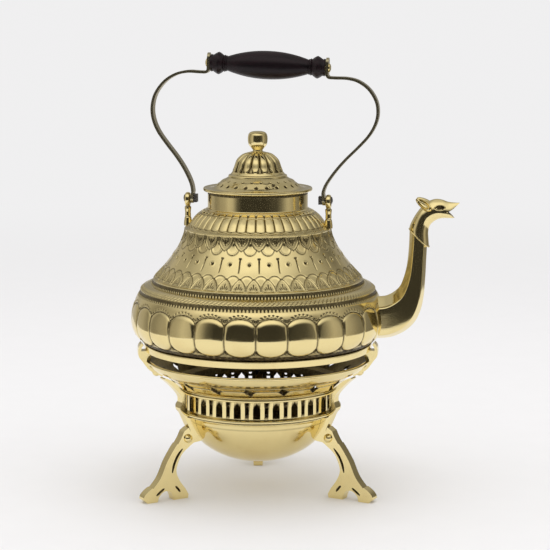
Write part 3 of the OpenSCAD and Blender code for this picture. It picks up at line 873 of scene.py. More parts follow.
def new_material(name: str) -> tuple[Material, Board, Node]:
    """Starts a material.

    Args:
        name: Its name.

    Returns:
        The material, its board and its Principled shader.
    """
    material = bpy.data.materials.new(name)
    material.use_nodes = True
    board = Board(material.node_tree)
    return material, board, material.node_tree.nodes["Principled BSDF"]


@dataclass(frozen=True)
class Metal:
    """A metal finish: clean on top, clouded, dark where tarnish and painted shade are marked, polished
    by hand.
    """

    name: str
    clean: Colour
    warm: Colour
    dark: Colour
    rough: float
    clouds: float
    waves: float
    scratches: float
    relief: float = 0.35

    def build(self) -> Material:
        """Builds the material.

        Returns:
            The material.
        """
        material, board, shader = new_material(self.name)
        groove = board.add("ShaderNodeAttribute", attribute_name="groove").outputs["Fac"]
        tone = board.group(Groups.patina(), {
            "Groove": groove, "Clean": self.clean, "Warm": self.warm, "Dark": self.dark,
            "Clouds": self.clouds, "Rough": self.rough})
        board.join(tone.outputs["Colour"], shader.inputs["Base Color"])
        board.join(tone.outputs["Roughness"], shader.inputs["Roughness"])
        touch = board.group(Groups.polish(), {"Waves": self.waves, "Scratches": self.scratches})
        board.bump(shader, touch.outputs["Height"], self.relief, 0.0004)
        shader.inputs["Metallic"].default_value = 1.0
        return material


@dataclass(frozen=True)
class DarkWood:
    """Polished, nearly black wood with a reddish grain."""

    name: str = "dark wood"
    light: Colour = rgb(0.012, 0.004, 0.006)
    dark: Colour = rgb(0.004, 0.002, 0.003)

    def build(self) -> Material:
        """Builds the material.

        Returns:
            The material.
        """
        material, board, shader = new_material(self.name)
        grain = board.group(Groups.grain(), {"Light": self.light, "Dark": self.dark})
        board.join(grain.outputs["Colour"], shader.inputs["Base Color"])
        board.bump(shader, grain.outputs["Height"], 0.25, 0.0002)
        for label, value in (("Roughness", 0.36), ("Specular IOR Level", 0.25),
                             ("Coat Weight", 0.03), ("Coat Roughness", 0.10)):
            shader.inputs[label].default_value = value
        return material


@dataclass(frozen=True)
class Cotton:
    """The wick's twisted cotton."""

    name: str = "cotton"
    shaded: Colour = rgb(0.55, 0.50, 0.40)
    bright: Colour = rgb(0.85, 0.82, 0.72)

    def build(self) -> Material:
        """Builds the material.

        Returns:
            The material.
        """
        material, board, shader = new_material(self.name)
        weave = board.noise(board.where(), 900.0, 3.0)
        board.join(board.mix(weave, self.shaded, self.bright), shader.inputs["Base Color"])
        board.bump(shader, weave, 0.8, 0.0005)
        shader.inputs["Roughness"].default_value = 0.95
        return material


POLISHED = Metal("polished brass", rgb(0.88, 0.74, 0.37), rgb(0.74, 0.57, 0.25),
                 rgb(0.035, 0.022, 0.010), 0.10, 0.35, 0.9, 0.06)
STRAP = Metal("strap brass", rgb(0.46, 0.41, 0.26), rgb(0.30, 0.24, 0.13),
              rgb(0.03, 0.02, 0.01), 0.26, 0.12, 0.2, 0.0)
SOOTY = Metal("sooty brass", rgb(0.20, 0.15, 0.07), rgb(0.08, 0.055, 0.03),
              rgb(0.02, 0.015, 0.01), 0.38, 1.0, 0.5, 0.10)
STEEL = Metal("dark steel", rgb(0.16, 0.15, 0.14), rgb(0.10, 0.07, 0.05),
              rgb(0.02, 0.02, 0.02), 0.36, 0.9, 0.2, 1.2, 0.4)


@dataclass
class Kit:
    """What every sub-assembly needs: the trees and the materials."""

    ring: Tree
    places: Tree
    soot: Material
    finishes: dict[Slot, Material]

    @classmethod
    def make(cls) -> "Kit":
        """Builds the trees and the materials.
        """
        finishes = {Slot.BRASS: POLISHED, Slot.STRAP: STRAP, Slot.STEEL: STEEL,
                    Slot.WOOD: DarkWood(), Slot.COTTON: Cotton()}
        return cls(Trees.ring(), Trees.places(), SOOTY.build(),
                   {slot: finish.build() for slot, finish in finishes.items()})


@dataclass
class SubAssembly:
    body: ClassVar[Body] = Body.KETTLE
    kit: Kit

    def place(self, obj: Piece, *nodes: str, slot: Slot = Slot.BRASS,
              finish: Material | None = None, angle: float | None = SHARP_EDGE) -> None:
        """Dresses a finished piece and hands it to its body.

        Args:
            obj: The piece.
            *nodes: The solids that it stands for.
            slot: The record's finish.
            finish: Its material, or None for the slot's own.
            angle: Edges past this angle in degrees stay sharp, or None where that is settled.
        """
        obj.data.materials.clear()
        obj.data.materials.append(finish or self.kit.finishes[slot])
        if angle is not None:
            shade(obj, angle)
        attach(obj, self.body.value)
        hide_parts(*nodes)
        LOG.info("%s: %d faces, on %s", obj.name, len(obj.data.polygons), self.body.value)

    def place_copy(self, node: str, width: float, segments: int = 2, slot: Slot = Slot.BRASS,
                   finish: Material | None = None) -> None:
        """Places a solid's copy with softened edges.

        Args:
            node: The solid's name.
            width: Size of the rounding in millimetres.
            segments: Steps in the rounding.
            slot: The record's finish.
            finish: Its material, or None for the slot's own.
        """
        self.place(softened(copy_of(node), width, segments), node, slot=slot, finish=finish,
                   angle=None)

    def emboss(self, node: str, name: str, outline: Outline, count: int, *rest: object) -> None:
        """Builds an embossed shell of like sectors and places it.

        Args:
            node: The solid that it stands for.
            name: The object's name.
            outline: The outside's outline.
            count: How many sectors make the ring.
            *rest: What else sector takes, in its order.
        """
        obj = sector(name, outline, count, *rest)
        settle(obj, self.kit.ring, {"Count": count, "Join": SECTOR_JOIN,
                                    "Material": self.kit.finishes[Slot.BRASS]})
        turn_outwards(obj)
        self.place(obj, node, angle=SHARP_RELIEF)

    def set_out(self, node: str, spots: Sequence[tuple[Vector, Vector]], piece: Piece) -> None:
        """Sets copies of an ornament in their spots and places them.

        Args:
            node: The solid that they stand for.
            spots: A point in millimetres and a direction for each copy.
            piece: The ornament, drawn along +Z, which is used up.
        """
        mesh = bpy.data.meshes.new(f"{node}_visual")
        mesh.from_pydata([point * MM for point, _ in spots], [], [])
        facing = mesh.attributes.new("facing", "FLOAT_VECTOR", "POINT")
        facing.data.foreach_set("vector", np.array([list(d) for _, d in spots], np.float32).ravel())
        obj = linked(mesh.name, mesh)
        shade(piece)
        settle(obj, self.kit.places, {"Ornament": piece,
                                      "Material": self.kit.finishes[Slot.BRASS]})
        discard(piece)
        if obj.data.attributes.get("facing"):
            obj.data.attributes.remove(obj.data.attributes["facing"])
        self.place(obj, node)


# Kettle


@dataclass
class KettleBody(SubAssembly):
    """The embossed shell: shoulder, bell, band of grooves, and lobed bulge."""

    ledge_r: float = 64.2
    ledge_z: float = 232.4
    lip_r: float = 90.8
    lip_z: float = 189.4
    bulge_core: float = 83.0
    bulge_r: float = 111.2
    bulge_z: float = 151.0
    bulge_up: float = 36.6
    bulge_low: float = 22.7
    foot_angle: float = 60.0
    seam_angle: float = 37.6
    lobes: int = 26
    upper_leaves: int = 28
    lower_leaves: int = 44
    ribs: int = 44
    teeth: int = 8

    def bulge_at(self, degrees: Grid) -> Grid:
        """Places on the bulge's outline, from the widest place upwards.

        Args:
            degrees: Angles up from the widest place.

        Returns:
            Radii and heights.
        """
        a = np.radians(degrees)
        reach = np.where(degrees < 0, self.bulge_low, self.bulge_up)
        return np.stack([self.bulge_core + (self.bulge_r - self.bulge_core) * np.cos(a),
                         self.bulge_z + reach * np.sin(a)], -1)

    def bell_at(self, share: Grid) -> Grid:
        """Places on the bell's outline, from the ledge down to the lip."""
        return np.stack([self.ledge_r + (self.lip_r - self.ledge_r) * share ** 1.6,
                         self.ledge_z - 1 - (self.ledge_z - 1 - self.lip_z) * share], -1)

    @staticmethod
    def leaf_edge(wide: Grid, share: Grid, belly: float, blunt: float) -> Grid:
        """Half width of a leaf, at a share of its length."""
        return wide * (1 - np.clip(share, 0, 1) ** belly) ** blunt

    def shoulder(self) -> None:
        """The ribbed shoulder with its tabs and its ledge."""
        line = through([[43.7, 248.6], [48.2, 246.9], [52.1, 244.3], [55.2, 241.3], [57.6, 238.1],
                        [59.4, 235.4], [61.3, 233.7], [63.0, 232.7],
                        [self.ledge_r, self.ledge_z - 1.0]], 8)
        outline = Outline(evenly(line, 0.42))
        full = outline.arc()[-1]
        foot = full - 6.3

        def relief(across: Grid, along: Grid, half: Grid) -> tuple[Grid, Grid]:
            """Ribs, tabs and the small marks on the ledge."""
            side = half - np.abs(across)
            zone = window(2.4, 2.9, 6.0, 6.6, along)
            slit = ease(0.95, 0.55, side - 0.1 * (6.6 - along)) * zone
            rib = ease(7.6, 8.6, along) * ease(foot + 1.0, foot - 1.4, along)
            gap = stroke(side, 0.48) * rib
            crown = (across / half) ** 2 * 0.55 * rib
            step = stroke(along - 7.2, 0.4)
            foot_line = foot - 0.6 + 1.9 * (1 - (across / half) ** 2)
            hem = stroke(along - foot_line, 0.5)
            mark = stroke(along - foot - 3.3 + 1.3 * (across / half) ** 2, 0.42)
            bead = stroke(along - (full - 1.9), 0.45)
            height = (-0.8 * slit - 1.0 * gap - crown - 0.5 * step - 0.6 * hem - 0.3 * mark
                      - 0.2 * bead)
            groove = np.clip(0.9 * slit + gap + 0.6 * step + 0.6 * hem + 0.35 * mark
                             + 0.2 * bead + 0.12 * ease(foot, foot + 1, along), 0, 1)
            return height, groove

        self.emboss("kettle_body", "body_shoulder", outline, self.ribs, 18, relief, -4.1)

    def bell_upper(self) -> None:
        """The bell's upper part: hanging leaves, scallops, dashes and dots."""
        outline = Outline(evenly(self.bell_at(np.linspace(0, 0.705, 300)), 0.52))

        def relief(across: Grid, along: Grid, half: Grid) -> tuple[Grid, Grid]:
            """One hanging leaf, with a half scallop on each side."""
            off = np.abs(across)
            tip = 12.2
            inside = self.leaf_edge(half - 0.35, along / tip, 2.3, 0.8) - off
            leaf = ease(-0.15, 0.35, inside) * (along < tip)
            rim = stroke(inside - 0.75, 0.42) * (along < tip + 0.3)
            outer = stroke(inside + 0.25, 0.42) * (along < tip + 0.6)
            side = half - off
            ring = np.hypot(side, along - 10.6)
            scallop = 5.5 - ring
            below = 1 - leaf
            bowl = ease(0.0, 2.6, scallop) * below * (along > 6)
            scallop_line = stroke(scallop, 0.42) * below * (along > 9.0)
            slit = (stroke(across, 0.42) * window(2.2, 3.0, 7.6, 8.4, along)
                    + stroke(off - 1.9 + 0.1 * along, 0.36)
                    * window(2.6, 3.2, 6.0, 6.6, along)
                    + stroke(off - 3.4 + 0.22 * along, 0.34)
                    * window(1.6, 2.2, 4.6, 5.2, along)) * leaf
            hatch = (stroke(np.mod(along * 0.8 + off * 1.1, 1.6) - 0.8, 0.26)
                     * leaf * ease(1.6, 2.3, inside) * ease(2.0, 3.0, off) * 0.6)
            dash = (ease(0.8, 0.4, off + 0.018 * (along - 19))
                    * window(18.4, 19.0, 31.6, 33.0, along))
            cap = ease(1.6, 1.1, off) * stroke(along - 19.1, 0.45)
            dot = ease(1.6, 1.0, np.hypot(side, along - 24.5))
            ring_up = stroke(np.hypot(side, along - 24.5) - 2.0, 0.4)
            dash = np.maximum(dash, cap)
            height = (-0.35 * leaf + 0.45 * rim - 0.5 * outer - 0.55 * slit - 0.25 * hatch
                      - 0.55 * bowl - 0.5 * scallop_line - 0.7 * dash - 0.9 * dot + 0.3 * ring_up)
            groove = np.clip(slit + 0.8 * hatch + 0.95 * outer + 0.75 * scallop_line
                             + dash + dot + 0.3 * leaf, 0, 1)
            fade = ease(0.0, 0.5, along)
            return height * fade, groove * fade

        self.emboss("kettle_body", "body_bell_upper", outline, self.upper_leaves, 42, relief, -2.0)

    def bell_lower(self) -> None:
        """The bell's lower part: standing leaves over the lip, and arcs between their tips."""
        line = self.bell_at(np.linspace(0.705, 1, 200))
        line = np.concatenate([line, [[self.lip_r + 0.15, self.lip_z - 0.35],
                                      [self.lip_r - 0.1, self.lip_z - 0.85]]])
        outline = Outline(evenly(line, 0.42))
        base = outline.arc()[-1] - 1.3

        def relief(across: Grid, along: Grid, half: Grid) -> tuple[Grid, Grid]:
            """One standing leaf, with a half arc on each side."""
            off = np.abs(across)
            up = base - along
            tall = 12.0
            inside = self.leaf_edge(half - 0.25, up / tall, 1.9, 0.75) - off
            leaf = ease(-0.15, 0.3, inside) * (up < tall)
            rim = stroke(inside - 0.7, 0.38) * (up < tall + 0.3)
            outer = stroke(inside + 0.22, 0.4) * (up < tall + 0.5) * (up > 0.2)
            side = half - off
            arc_side = 5.6 - np.hypot(side, up - 9.4)
            arc_line = stroke(arc_side, 0.42) * (1 - leaf) * (up > 9.0)
            bowl = ease(0.0, 2.4, arc_side) * (1 - leaf) * (up > 4)
            slit = (stroke(across, 0.45) * window(2.0, 2.8, 7.2, 8.0, up)
                    + stroke(off - 0.5 - 0.28 * up, 0.34) * window(1.4, 2.0, 4.8, 5.4, up)
                    + stroke(off - 2.4 - 0.12 * up, 0.34) * window(1.0, 1.6, 3.4, 4.0, up)) * leaf
            specks = (stroke(np.mod(up * 1.0 - off * 0.8, 1.7) - 0.85, 0.3)
                      * leaf * ease(1.4, 2.0, inside) * ease(1.2, 1.8, off) * 0.6)
            seat = stroke(up + 0.1, 0.5) * 0.5
            height = (-0.32 * leaf + 0.42 * rim - 0.45 * outer - 0.55 * slit - 0.25 * specks
                      - 0.45 * bowl - 0.48 * arc_line - 0.3 * seat)
            groove = np.clip(0.95 * slit + 0.7 * specks + 0.95 * outer + 0.85 * arc_line
                             + 0.4 * seat + 0.15 * leaf, 0, 1)
            keep = ease(0.0, 0.6, along) * ease(-0.9, -0.3, up)
            return height * keep, groove * keep

        self.emboss("kettle_body", "body_bell_lower", outline, self.lower_leaves, 28, relief, -0.6)

    def band(self) -> None:
        """The two grooves under the lip, painted dark as shade, with their teeth."""
        line = np.array([
            [90.6, 188.5], [91.8, 187.6], [92.3, 186.4], [92.9, 183.6], [93.6, 183.3],
            [95.2, 183.2], [98.5, 182.2], [101.2, 180.4], [102.6, 179.2], [103.1, 178.2],
            [104.1, 174.8], [104.6, 174.3], [105.1, 173.9],
            self.bulge_at(np.array(self.seam_angle))])
        outline = Outline(evenly(line, 0.48))
        full = outline.arc()[-1]
        rows = [(outline.arc_at(91.8, 187.6), outline.arc_at(93.0, 183.5)),
                (outline.arc_at(102.8, 178.9), outline.arc_at(104.2, 174.7))]

        def relief(across: Grid, along: Grid, half: Grid) -> tuple[Grid, Grid]:
            """Two steps painted dark as shade, with a row of teeth at each foot, and slanted strokes
            between.
            """
            pitch = half * 2 / self.teeth
            cell = np.abs(np.mod(across / pitch, 1.0) - 0.5) * 2
            height, groove = 0.0 * cell, 0.0 * cell
            for top, low in rows:
                up = low - along
                step = ease(top - 0.1, top + 0.5, along) * ease(-0.5, 0.1, up)
                tooth = ease(-0.3, 0.2, 1.5 * cell - 0.1 - up) * ease(-0.6, 0.2, up)
                pit = ease(0.95, 0.5, np.hypot(cell * pitch / 2, (up - 0.1) * 0.8))
                height += -0.35 * step + 0.45 * tooth * step - 0.35 * pit
                # The steps' darkness is painted shade under the lip.
                groove += 0.86 * step * (1 - tooth) + pit
            start, stop = rows[0][1] + 1.2, rows[1][0]
            slant = half * 2 / 6
            lean = np.mod((across - 0.75 * (stop - along)) / slant, 1.0)
            edge = np.minimum(lean, 1 - lean)
            zone = ease(stop - 5.2, stop - 3.8, along) * ease(stop + 0.2, stop - 0.4, along)
            mark = ease(0.13, 0.05, edge) * zone
            spot = ease(0.75, 0.4, np.hypot(np.mod(across, slant) - slant / 2,
                                            along - start - 1.8))
            hem = stroke(along - (stop - 1.3) + 0.8 * np.sin(math.pi * lean), 0.35)
            height += -0.3 * mark - 0.25 * spot - 0.2 * hem + 0.3 * np.sin(math.pi * lean) * zone
            groove = np.clip(groove + 0.7 * mark + 0.6 * spot + 0.35 * hem, 0, 1)
            keep = ease(full, full - 0.5, along) * ease(0.0, 0.7, along)
            return height * keep, groove * keep

        self.emboss("kettle_body", "body_band", outline, self.lobes, 64, relief)

    def lobe_ring(self) -> None:
        """The bulge's lobes, with punched dots over them and pearls at their joints."""
        line = self.bulge_at(np.linspace(self.seam_angle, -self.foot_angle, 400))
        outline = Outline(evenly(line, 0.56))
        seam = 23.4

        def relief(across: Grid, along: Grid, half: Grid) -> tuple[Grid, Grid]:
            """One lobe, with half a joint on each side."""
            up = seam - along
            top_y, top_h, low_y, low_h = 10.7, 8.3, -7.6, 10.0
            over = np.where(up > top_y, (up - top_y) / top_h,
                            np.where(up < low_y, (low_y - up) / low_h, 0.0))
            rise = np.where(up > top_y, top_h, low_h)
            u = np.abs(across) / half
            f = np.sqrt(u ** 2 + over ** 2) + 1e-9
            steep = np.sqrt((u / half) ** 2 + (over / rise) ** 2) / f
            bent = np.divide(1 - f, steep, out=np.zeros_like(f), where=over > 0)
            inside = np.where(over > 0, bent, half - np.abs(across))
            soft = 1.9 + 3.4 * ease(3.0, 14.0, up) + 1.2 * ease(-4.0, -12.0, up)
            drop = np.clip(1 - inside / soft, 0, 1) ** 2
            deep = 0.95 - 0.1 * ease(6.0, 14.0, up) - 0.25 * ease(-4.0, -12.0, up)
            lobe = -deep * drop - 0.4 * np.clip(u, 0, 1) ** 2
            web = -0.3 * ease(23.2, 16.0, up) + 0.25 * ease(0.0, -8.0, up)
            web = np.where(up < 0, -0.45 * ease(-19.5, -16.5, up), web)
            height = np.where(inside > 0, lobe, np.maximum(web, -deep - 0.4))
            line = stroke(inside - 0.05, 0.62)
            height = height - 0.5 * line
            joint = line * (over <= 0)
            dots = np.zeros_like(height)
            for x, y in ((1.75, 21.2), (5.2, 20.5), (8.3, 19.0), (10.7, 16.9)):
                dots = np.maximum(dots, ease(0.8, 0.45, np.hypot(np.abs(across) - x, up - y)))
            side = half - np.abs(across)
            for y, size in ((15.8, 1.2), (13.2, 0.7)):
                dots = np.maximum(dots, ease(size, size * 0.5, np.hypot(side, up - y)))
            far = np.hypot(side, up + 12.6)
            pearl = ease(1.25, 0.5, far) * 0.9
            ring = stroke(far - 1.55, 0.38) * (inside < 0)
            height = height - 0.55 * dots + pearl - 0.3 * ring
            # Below the lobes' feet the metal is painted dark: painted shade in the gap over the pan.
            groove = np.clip(line + 0.2 * joint + dots + 0.9 * ring
                             + ease(-16.6, -17.4, up) + 0.5 * (inside < -0.3) * (up < -9), 0, 1)
            keep = ease(0.0, 0.5, along)
            return height * keep, groove * keep

        self.emboss("kettle_body", "body_lobes", outline, self.lobes, 38, relief, -4.85)

    def build(self) -> None:
        """Builds and places the shell's five rings."""
        for make in (self.shoulder, self.bell_upper, self.bell_lower, self.band, self.lobe_ring):
            make()


@dataclass
class PanAndNeck(SubAssembly):
    """The base pan with its polished band, and the plain neck."""

    base_r: float = 99.8
    band_h: float = 6.0
    seat_z: float = 125.8
    neck_r: float = 43.5
    sheet: float = 1.5
    shoulder_z: float = 247.5
    neck_z: float = 264.0

    def build(self) -> None:
        """Builds and places both."""
        r, z, top = self.base_r, self.seat_z, self.seat_z + self.band_h
        pan = turned("base_pan_visual", rounded([
            (0, z), (r - 3, z, 0.5), (r + 0.05, z, 0.6), (r + 0.4, top - 0.1, 0.5),
            (r - self.sheet - 1.2, top + 0.5, 0.5), (r - self.sheet - 1.2, z + self.sheet, 0.5),
            (0, z + self.sheet)]), 256)
        self.place(pan, "base_pan")
        n, s = self.neck_r, self.shoulder_z
        # The neck's top 2.2 mm is painted dark: painted shade under the lid's brim.
        neck = turned("neck_visual", rounded([
            (n - self.sheet, s - 4), (n, s - 4), (n, s), (n + 2, s, 0.2), (n + 2, s + 0.9, 0.5),
            (n + 0.9, s + 1.5, 0.6), (n, s + 2.2, 1.0), (n, self.neck_z - 2.7),
            (n, self.neck_z - 2.1), (n, self.neck_z, 0.4),
            (n - self.sheet, self.neck_z, 0.4)]), 256,
            lambda radius, height: np.where(height > self.neck_z - 2.2, 0.9, 0.0))
        self.place(neck, "neck_collar")


@dataclass
class Spout(SubAssembly):
    """The faceted spout and its animal head with an open beak."""

    shell: KettleBody
    riser_x: float = 140.0
    axis_z: float = 155.4
    height: float = 93.0
    root: float = 18.5
    wall: float = 1.8
    mouth_x: float = 166.1
    mouth_z: float = 248.4
    edge: float = 0.9

    def stations(self) -> Grid:
        """Inner edge, outer edge and half width at each station.

        Returns:
            One row for each station.
        """
        r, h = self.root, self.height
        return through([
            [-40, r, -40, -r, 13.5], [-32, r + 0.3, -31, -r, 13.5],
            [-26, r + 1.5, -21, -r + 1.8, 13.2], [-20, r + 5, -10.5, -r + 7, 12.6],
            [-15.2, r + 10, -2, -r + 15.2, 11.6], [-12.2, r + 17.5, 3, -r + 26, 10.6],
            [-10.2, r + 25, 5.6, -r + 39, 9.7], [-8.9, r + 33.5, 6.8, -r + 55, 9],
            [-8.2, r + 42, 7.4, -r + 71, 8.5], [-7.8, h - 25, 7.7, h - 34.5, 8.1],
            [-7.6, h - 15.6, 7.8, h - 29.6, 7.9]], 12)

    def ring(self, station: Grid, wall: float) -> Grid:
        """One faceted ring with softly rounded corners.

        Args:
            station: Inner edge, outer edge and half width.
            wall: How far inside the surface it runs.

        Returns:
            The ring's places.
        """
        a, b = station[:2], station[2:4]
        u = (b - a) / np.linalg.norm(b - a)
        p, q = a + u * wall, b - u * wall
        corners = []
        slim = (13.5 - station[4]) / 5.6
        near, far = 0.25 + 0.05 * slim, 0.87
        for share, side in ((0, 0), (near, 1), (far, 1), (1, 0), (far, -1), (near, -1)):
            c = p + (q - p) * share
            corners.append(np.array([self.riser_x + c[0], side * (station[4] - wall),
                                     self.axis_z + c[1]]))
        out = []
        for i, corner in enumerate(corners):
            before, after = corners[i - 1], corners[(i + 1) % 6]
            toward = (before - corner) / np.linalg.norm(before - corner) * self.edge
            away = (after - corner) / np.linalg.norm(after - corner) * self.edge
            out += [corner + toward * (1 - t) ** 2 + away * t ** 2 for t in (0, 0.3, 0.7, 1)]
            start, end = corner + away, after - away
            out += [start + (end - start) * t for t in (0.25, 0.5, 0.75)]
        return np.array(out)

    def tube(self) -> None:
        """The tube, fitted to the bulge at its root."""
        stations = self.stations()
        outer = np.array([self.ring(s, 0) for s in stations])
        inner = np.array([self.ring(s, self.wall) for s in stations])
        line = self.shell.bulge_at(np.linspace(-60, 80, 600))
        bulge = np.interp(outer[..., 2], line[:, 1], line[:, 0])
        hidden = np.hypot(outer[..., 0], outer[..., 1]) < bulge - 4.2
        first = len(stations) - 1 - np.argmax(hidden[::-1], axis=0)
        rows = len(stations)
        share = np.linspace(0, 1, rows)[:, None]
        at = first[None, :] + (rows - 1 - first[None, :]) * share
        low = np.clip(np.floor(at).astype(int), 0, rows - 2)
        part = (at - low)[..., None]
        column = np.arange(outer.shape[1])[None, :]
        fitted = [g[low, column] * (1 - part) + g[low + 1, column] * part
                  for g in (outer, inner)]
        points = np.concatenate([fitted[0], fitted[1][::-1]])
        obj = weld(grid_object("spout_visual", points, True, True))
        self.place(obj, "spout_tube", angle=50)

    def head_rings(self, wall: float, steps: int, bore: bool) -> Grid:
        """The rings of the head's outside, or of its bore.

        Args:
            wall: How far inside the surface they run.
            steps: Steps between two stations.
            bore: Whether they are the bore.

        Returns:
            The rings, one after another.
        """
        rows = [
            [-33.9, -15.2, -16.5, -31, 9.2], [-33, -11.4, -17, -25, 9.3],
            [-29.9, -5, -17.4, -17.4, 8.9], [-26.2, 0.7, -16, -11.9, 8.3],
            [-21.9, 5.7, -12.5, -8.2, 7.7], [-16.6, 9.5, -8.4, -6, 7.2],
            [-11.3, 11.2, -4.4, -5.3, 6.7], [-5.8, 10.7, -0.8, -5.2, 5.9],
            [-0.8, 9, 2.2, -5.2, 4.8], [4.2, 8.4, 4, -5.1, 3.6], [9.8, 8.2, 5, -4.9, 2]]
        if bore:
            rows = [[-33.9, -19.2, -16.5, -35, 9.2]] + rows[:9]
        angle = np.linspace(0, TURN, 36, endpoint=False)
        rings = []
        for s in through(rows, steps):
            a, b = s[:2], s[2:4]
            u = (b - a) / np.linalg.norm(b - a)
            middle, half = (a + b) / 2, np.linalg.norm(b - a) / 2 - wall
            c = middle - u * half * np.cos(angle)[:, None]
            lean = 1 - 0.38 * min(max((s[2] + 15) / 12, 0.0), 1.0) * np.cos(angle)
            rings.append(np.stack([self.mouth_x + c[:, 0], (s[4] - wall) * np.sin(angle) * lean,
                                   self.mouth_z + c[:, 1]], -1))
        return np.array(rings)

    def ear(self, side: int) -> Piece:
        """One cupped ear, a long oval with a raised rim that opens to its side.

        Args:
            side: -1 for the near side, 1 for the far one.

        Returns:
            The ear.
        """
        section = ((0.35, -2.5), (0.7, -1.9), (0.95, -0.8), (1.0, 0.0), (0.97, 0.9), (0.86, 1.35),
                   (0.74, 0.9), (0.66, -0.1), (0.45, -0.9), (0.2, -1.3))
        obj = capped("ear_leaf", np.array([self.leaf(*spot) for spot in section]))
        spot = shift(self.mouth_x - 21.2, side * 6.9, self.mouth_z + 7.0)
        tilt = spun(side * 14) @ spun(side * 16, "X") @ spun(-59, "Y")
        if side > 0:
            tilt = tilt @ Matrix.Scale(-1, 4, Vector((0, 1, 0)))
        return moved(obj, spot @ tilt)

    @staticmethod
    def leaf(share: float, lift: float) -> Grid:
        """One oval ring of an ear: long in Z, wide in X, lifted towards -Y.

        Args:
            share: Share of the full oval.
            lift: How far it is lifted.

        Returns:
            The ring's places.
        """
        a = np.linspace(0, TURN, 28, endpoint=False)
        narrow = 1 - 0.22 * np.sin(a)
        return np.stack([3.5 * share * np.cos(a) * narrow, -lift + 0 * a,
                         8.4 * (share * 0.94 + 0.06 * share ** 2) * np.sin(a)], -1)

    def head(self) -> None:
        """The head, its ears, eyes and rolled collar."""
        skin = capped("head_skin", self.head_rings(0, 6, False))
        hollow = capped("head_bore", self.head_rings(1.5, 4, True))
        line = [(-1, 0), (3.5, 2.6), (11, 9.6), (18, 6), (18, -9), (6.6, -6.6), (2.4, -2.6)]
        mouth = prism("mouth", [(self.mouth_x + x, self.mouth_z + z) for x, z in line], 24)
        cut(skin, [hollow, mouth])
        softened(skin, 0.35, 2, 40)
        parts = [skin] + [self.ear(side) for side in (-1, 1)]
        parts.append(self.roll("collar_roll", self.head_rings(0, 6, False)[1], 0.5))
        for side in (-1, 1):
            spot = shift(self.mouth_x - 7.2, side * 6.3, self.mouth_z + 4.2)
            eye = turned("eye", rounded([(0, 0.5, 0), (0.9, 0.4, 0.3), (1.5, -0.1, 0.2),
                                         (2.0, 0.0, 0.2), (2.3, 0.55, 0.2), (2.75, 0.1, 0.2),
                                         (2.8, -1.4), (0, -1.4)]), 32,
                         lambda r, z: np.where(r < 2.1, 1.0, 0.0) * (z > -0.6))
            aim = Vector((0.16, side * 0.97, 0.16)).to_track_quat("Z", "Y").to_matrix().to_4x4()
            oval = Matrix.Diagonal(Vector((1.9, 1.0, 0.98, 1.0)))
            parts.append(moved(eye, spot @ spun(-4, "Y") @ oval @ aim))
        obj = joined("spout_head_visual", parts)
        self.place(obj, "spout_head", angle=40)

    def build(self) -> None:
        """Builds and places the spout."""
        self.tube()
        self.head()

    @staticmethod
    def roll(name: str, ring: Grid, radius: float) -> Piece:
        """A thin rolled edge along a closed ring.

        Args:
            name: The object's name.
            ring: The ring that it follows.
            radius: Half its thickness.

        Returns:
            The roll.
        """
        along = np.roll(ring, -1, 0) - np.roll(ring, 1, 0)
        along /= np.linalg.norm(along, axis=1)[:, None]
        out = ring - ring.mean(0)
        out -= (out * along).sum(1)[:, None] * along
        out /= np.linalg.norm(out, axis=1)[:, None]
        side = np.cross(along, out)
        a = np.linspace(0, TURN, 10, endpoint=False)
        points = np.stack([ring + radius * (np.cos(k) * out + np.sin(k) * side) for k in a], 1)
        return weld(grid_object(name, points, True, True))


@dataclass
class EarsAndBolts(SubAssembly):
    """The ears on the ledge and the square bolts that carry the bail."""

    ear_x: float = 62.1
    ledge_z: float = 232.4
    eye_z: float = 255.4
    eye_r: float = 5.1
    eye_t: float = 4.4
    stretch: float = 1.2
    bore: float = 3.0

    def ear(self, side: int) -> Piece:
        """One ear: a tall oval eye on a collar, a plain stem and a flared foot.

        Args:
            side: -1 for the left, 1 for the right.

        Returns:
            The ear.
        """
        r, t, low = self.eye_r, self.eye_t / 2, self.ledge_z
        eye = turned("eye_ring", rounded([
            (self.bore, -t, 0.4), (r - 0.7, -t, 0.8), (r, -t + 1.2, 0.9), (r, t - 1.2, 0.9),
            (r - 0.7, t, 0.8), (self.bore, t, 0.4)]), 48)
        moved(eye, shift(side * self.ear_x, 0, self.eye_z)
              @ Matrix.Diagonal(Vector((1.0, 1.0, self.stretch, 1.0))) @ spun(90, "Y"))
        top = self.eye_z - self.stretch * self.eye_r + 1.0
        stem = turned("stem", rounded([
            (0, top + 0.4), (1.9, top + 0.4), (2.2, top - 0.5, 0.3), (2.0, top - 1.2, 0.2),
            (2.9, top - 1.5, 0.3), (2.9, top - 3.0, 0.6), (2.5, top - 6.0, 0.8),
            (2.7, low + 8.6, 0.8), (2.4, low + 7.9, 0.2), (3.0, low + 7.0, 0.8),
            (3.6, low + 2.6, 1.0), (3.6, low - 0.1), (0, low - 0.1)]), 48,
            lambda radius, height: np.clip(stroke(height - (top - 1.2), 0.35) + stroke(
                height - (low + 7.9), 0.3), 0, 1))
        moved(stem, shift(side * self.ear_x, 0, 0))
        return joined(f"ear_{'left' if side < 0 else 'right'}_visual", [eye, stem])

    def build(self) -> None:
        """Builds and places both sides."""
        for side, sign in (("left", -1), ("right", 1)):
            self.place(self.ear(sign), f"ear_{side}",
                  angle=40)
            self.place_copy(f"bolt_{side}", 0.45, 3, Slot.STEEL)


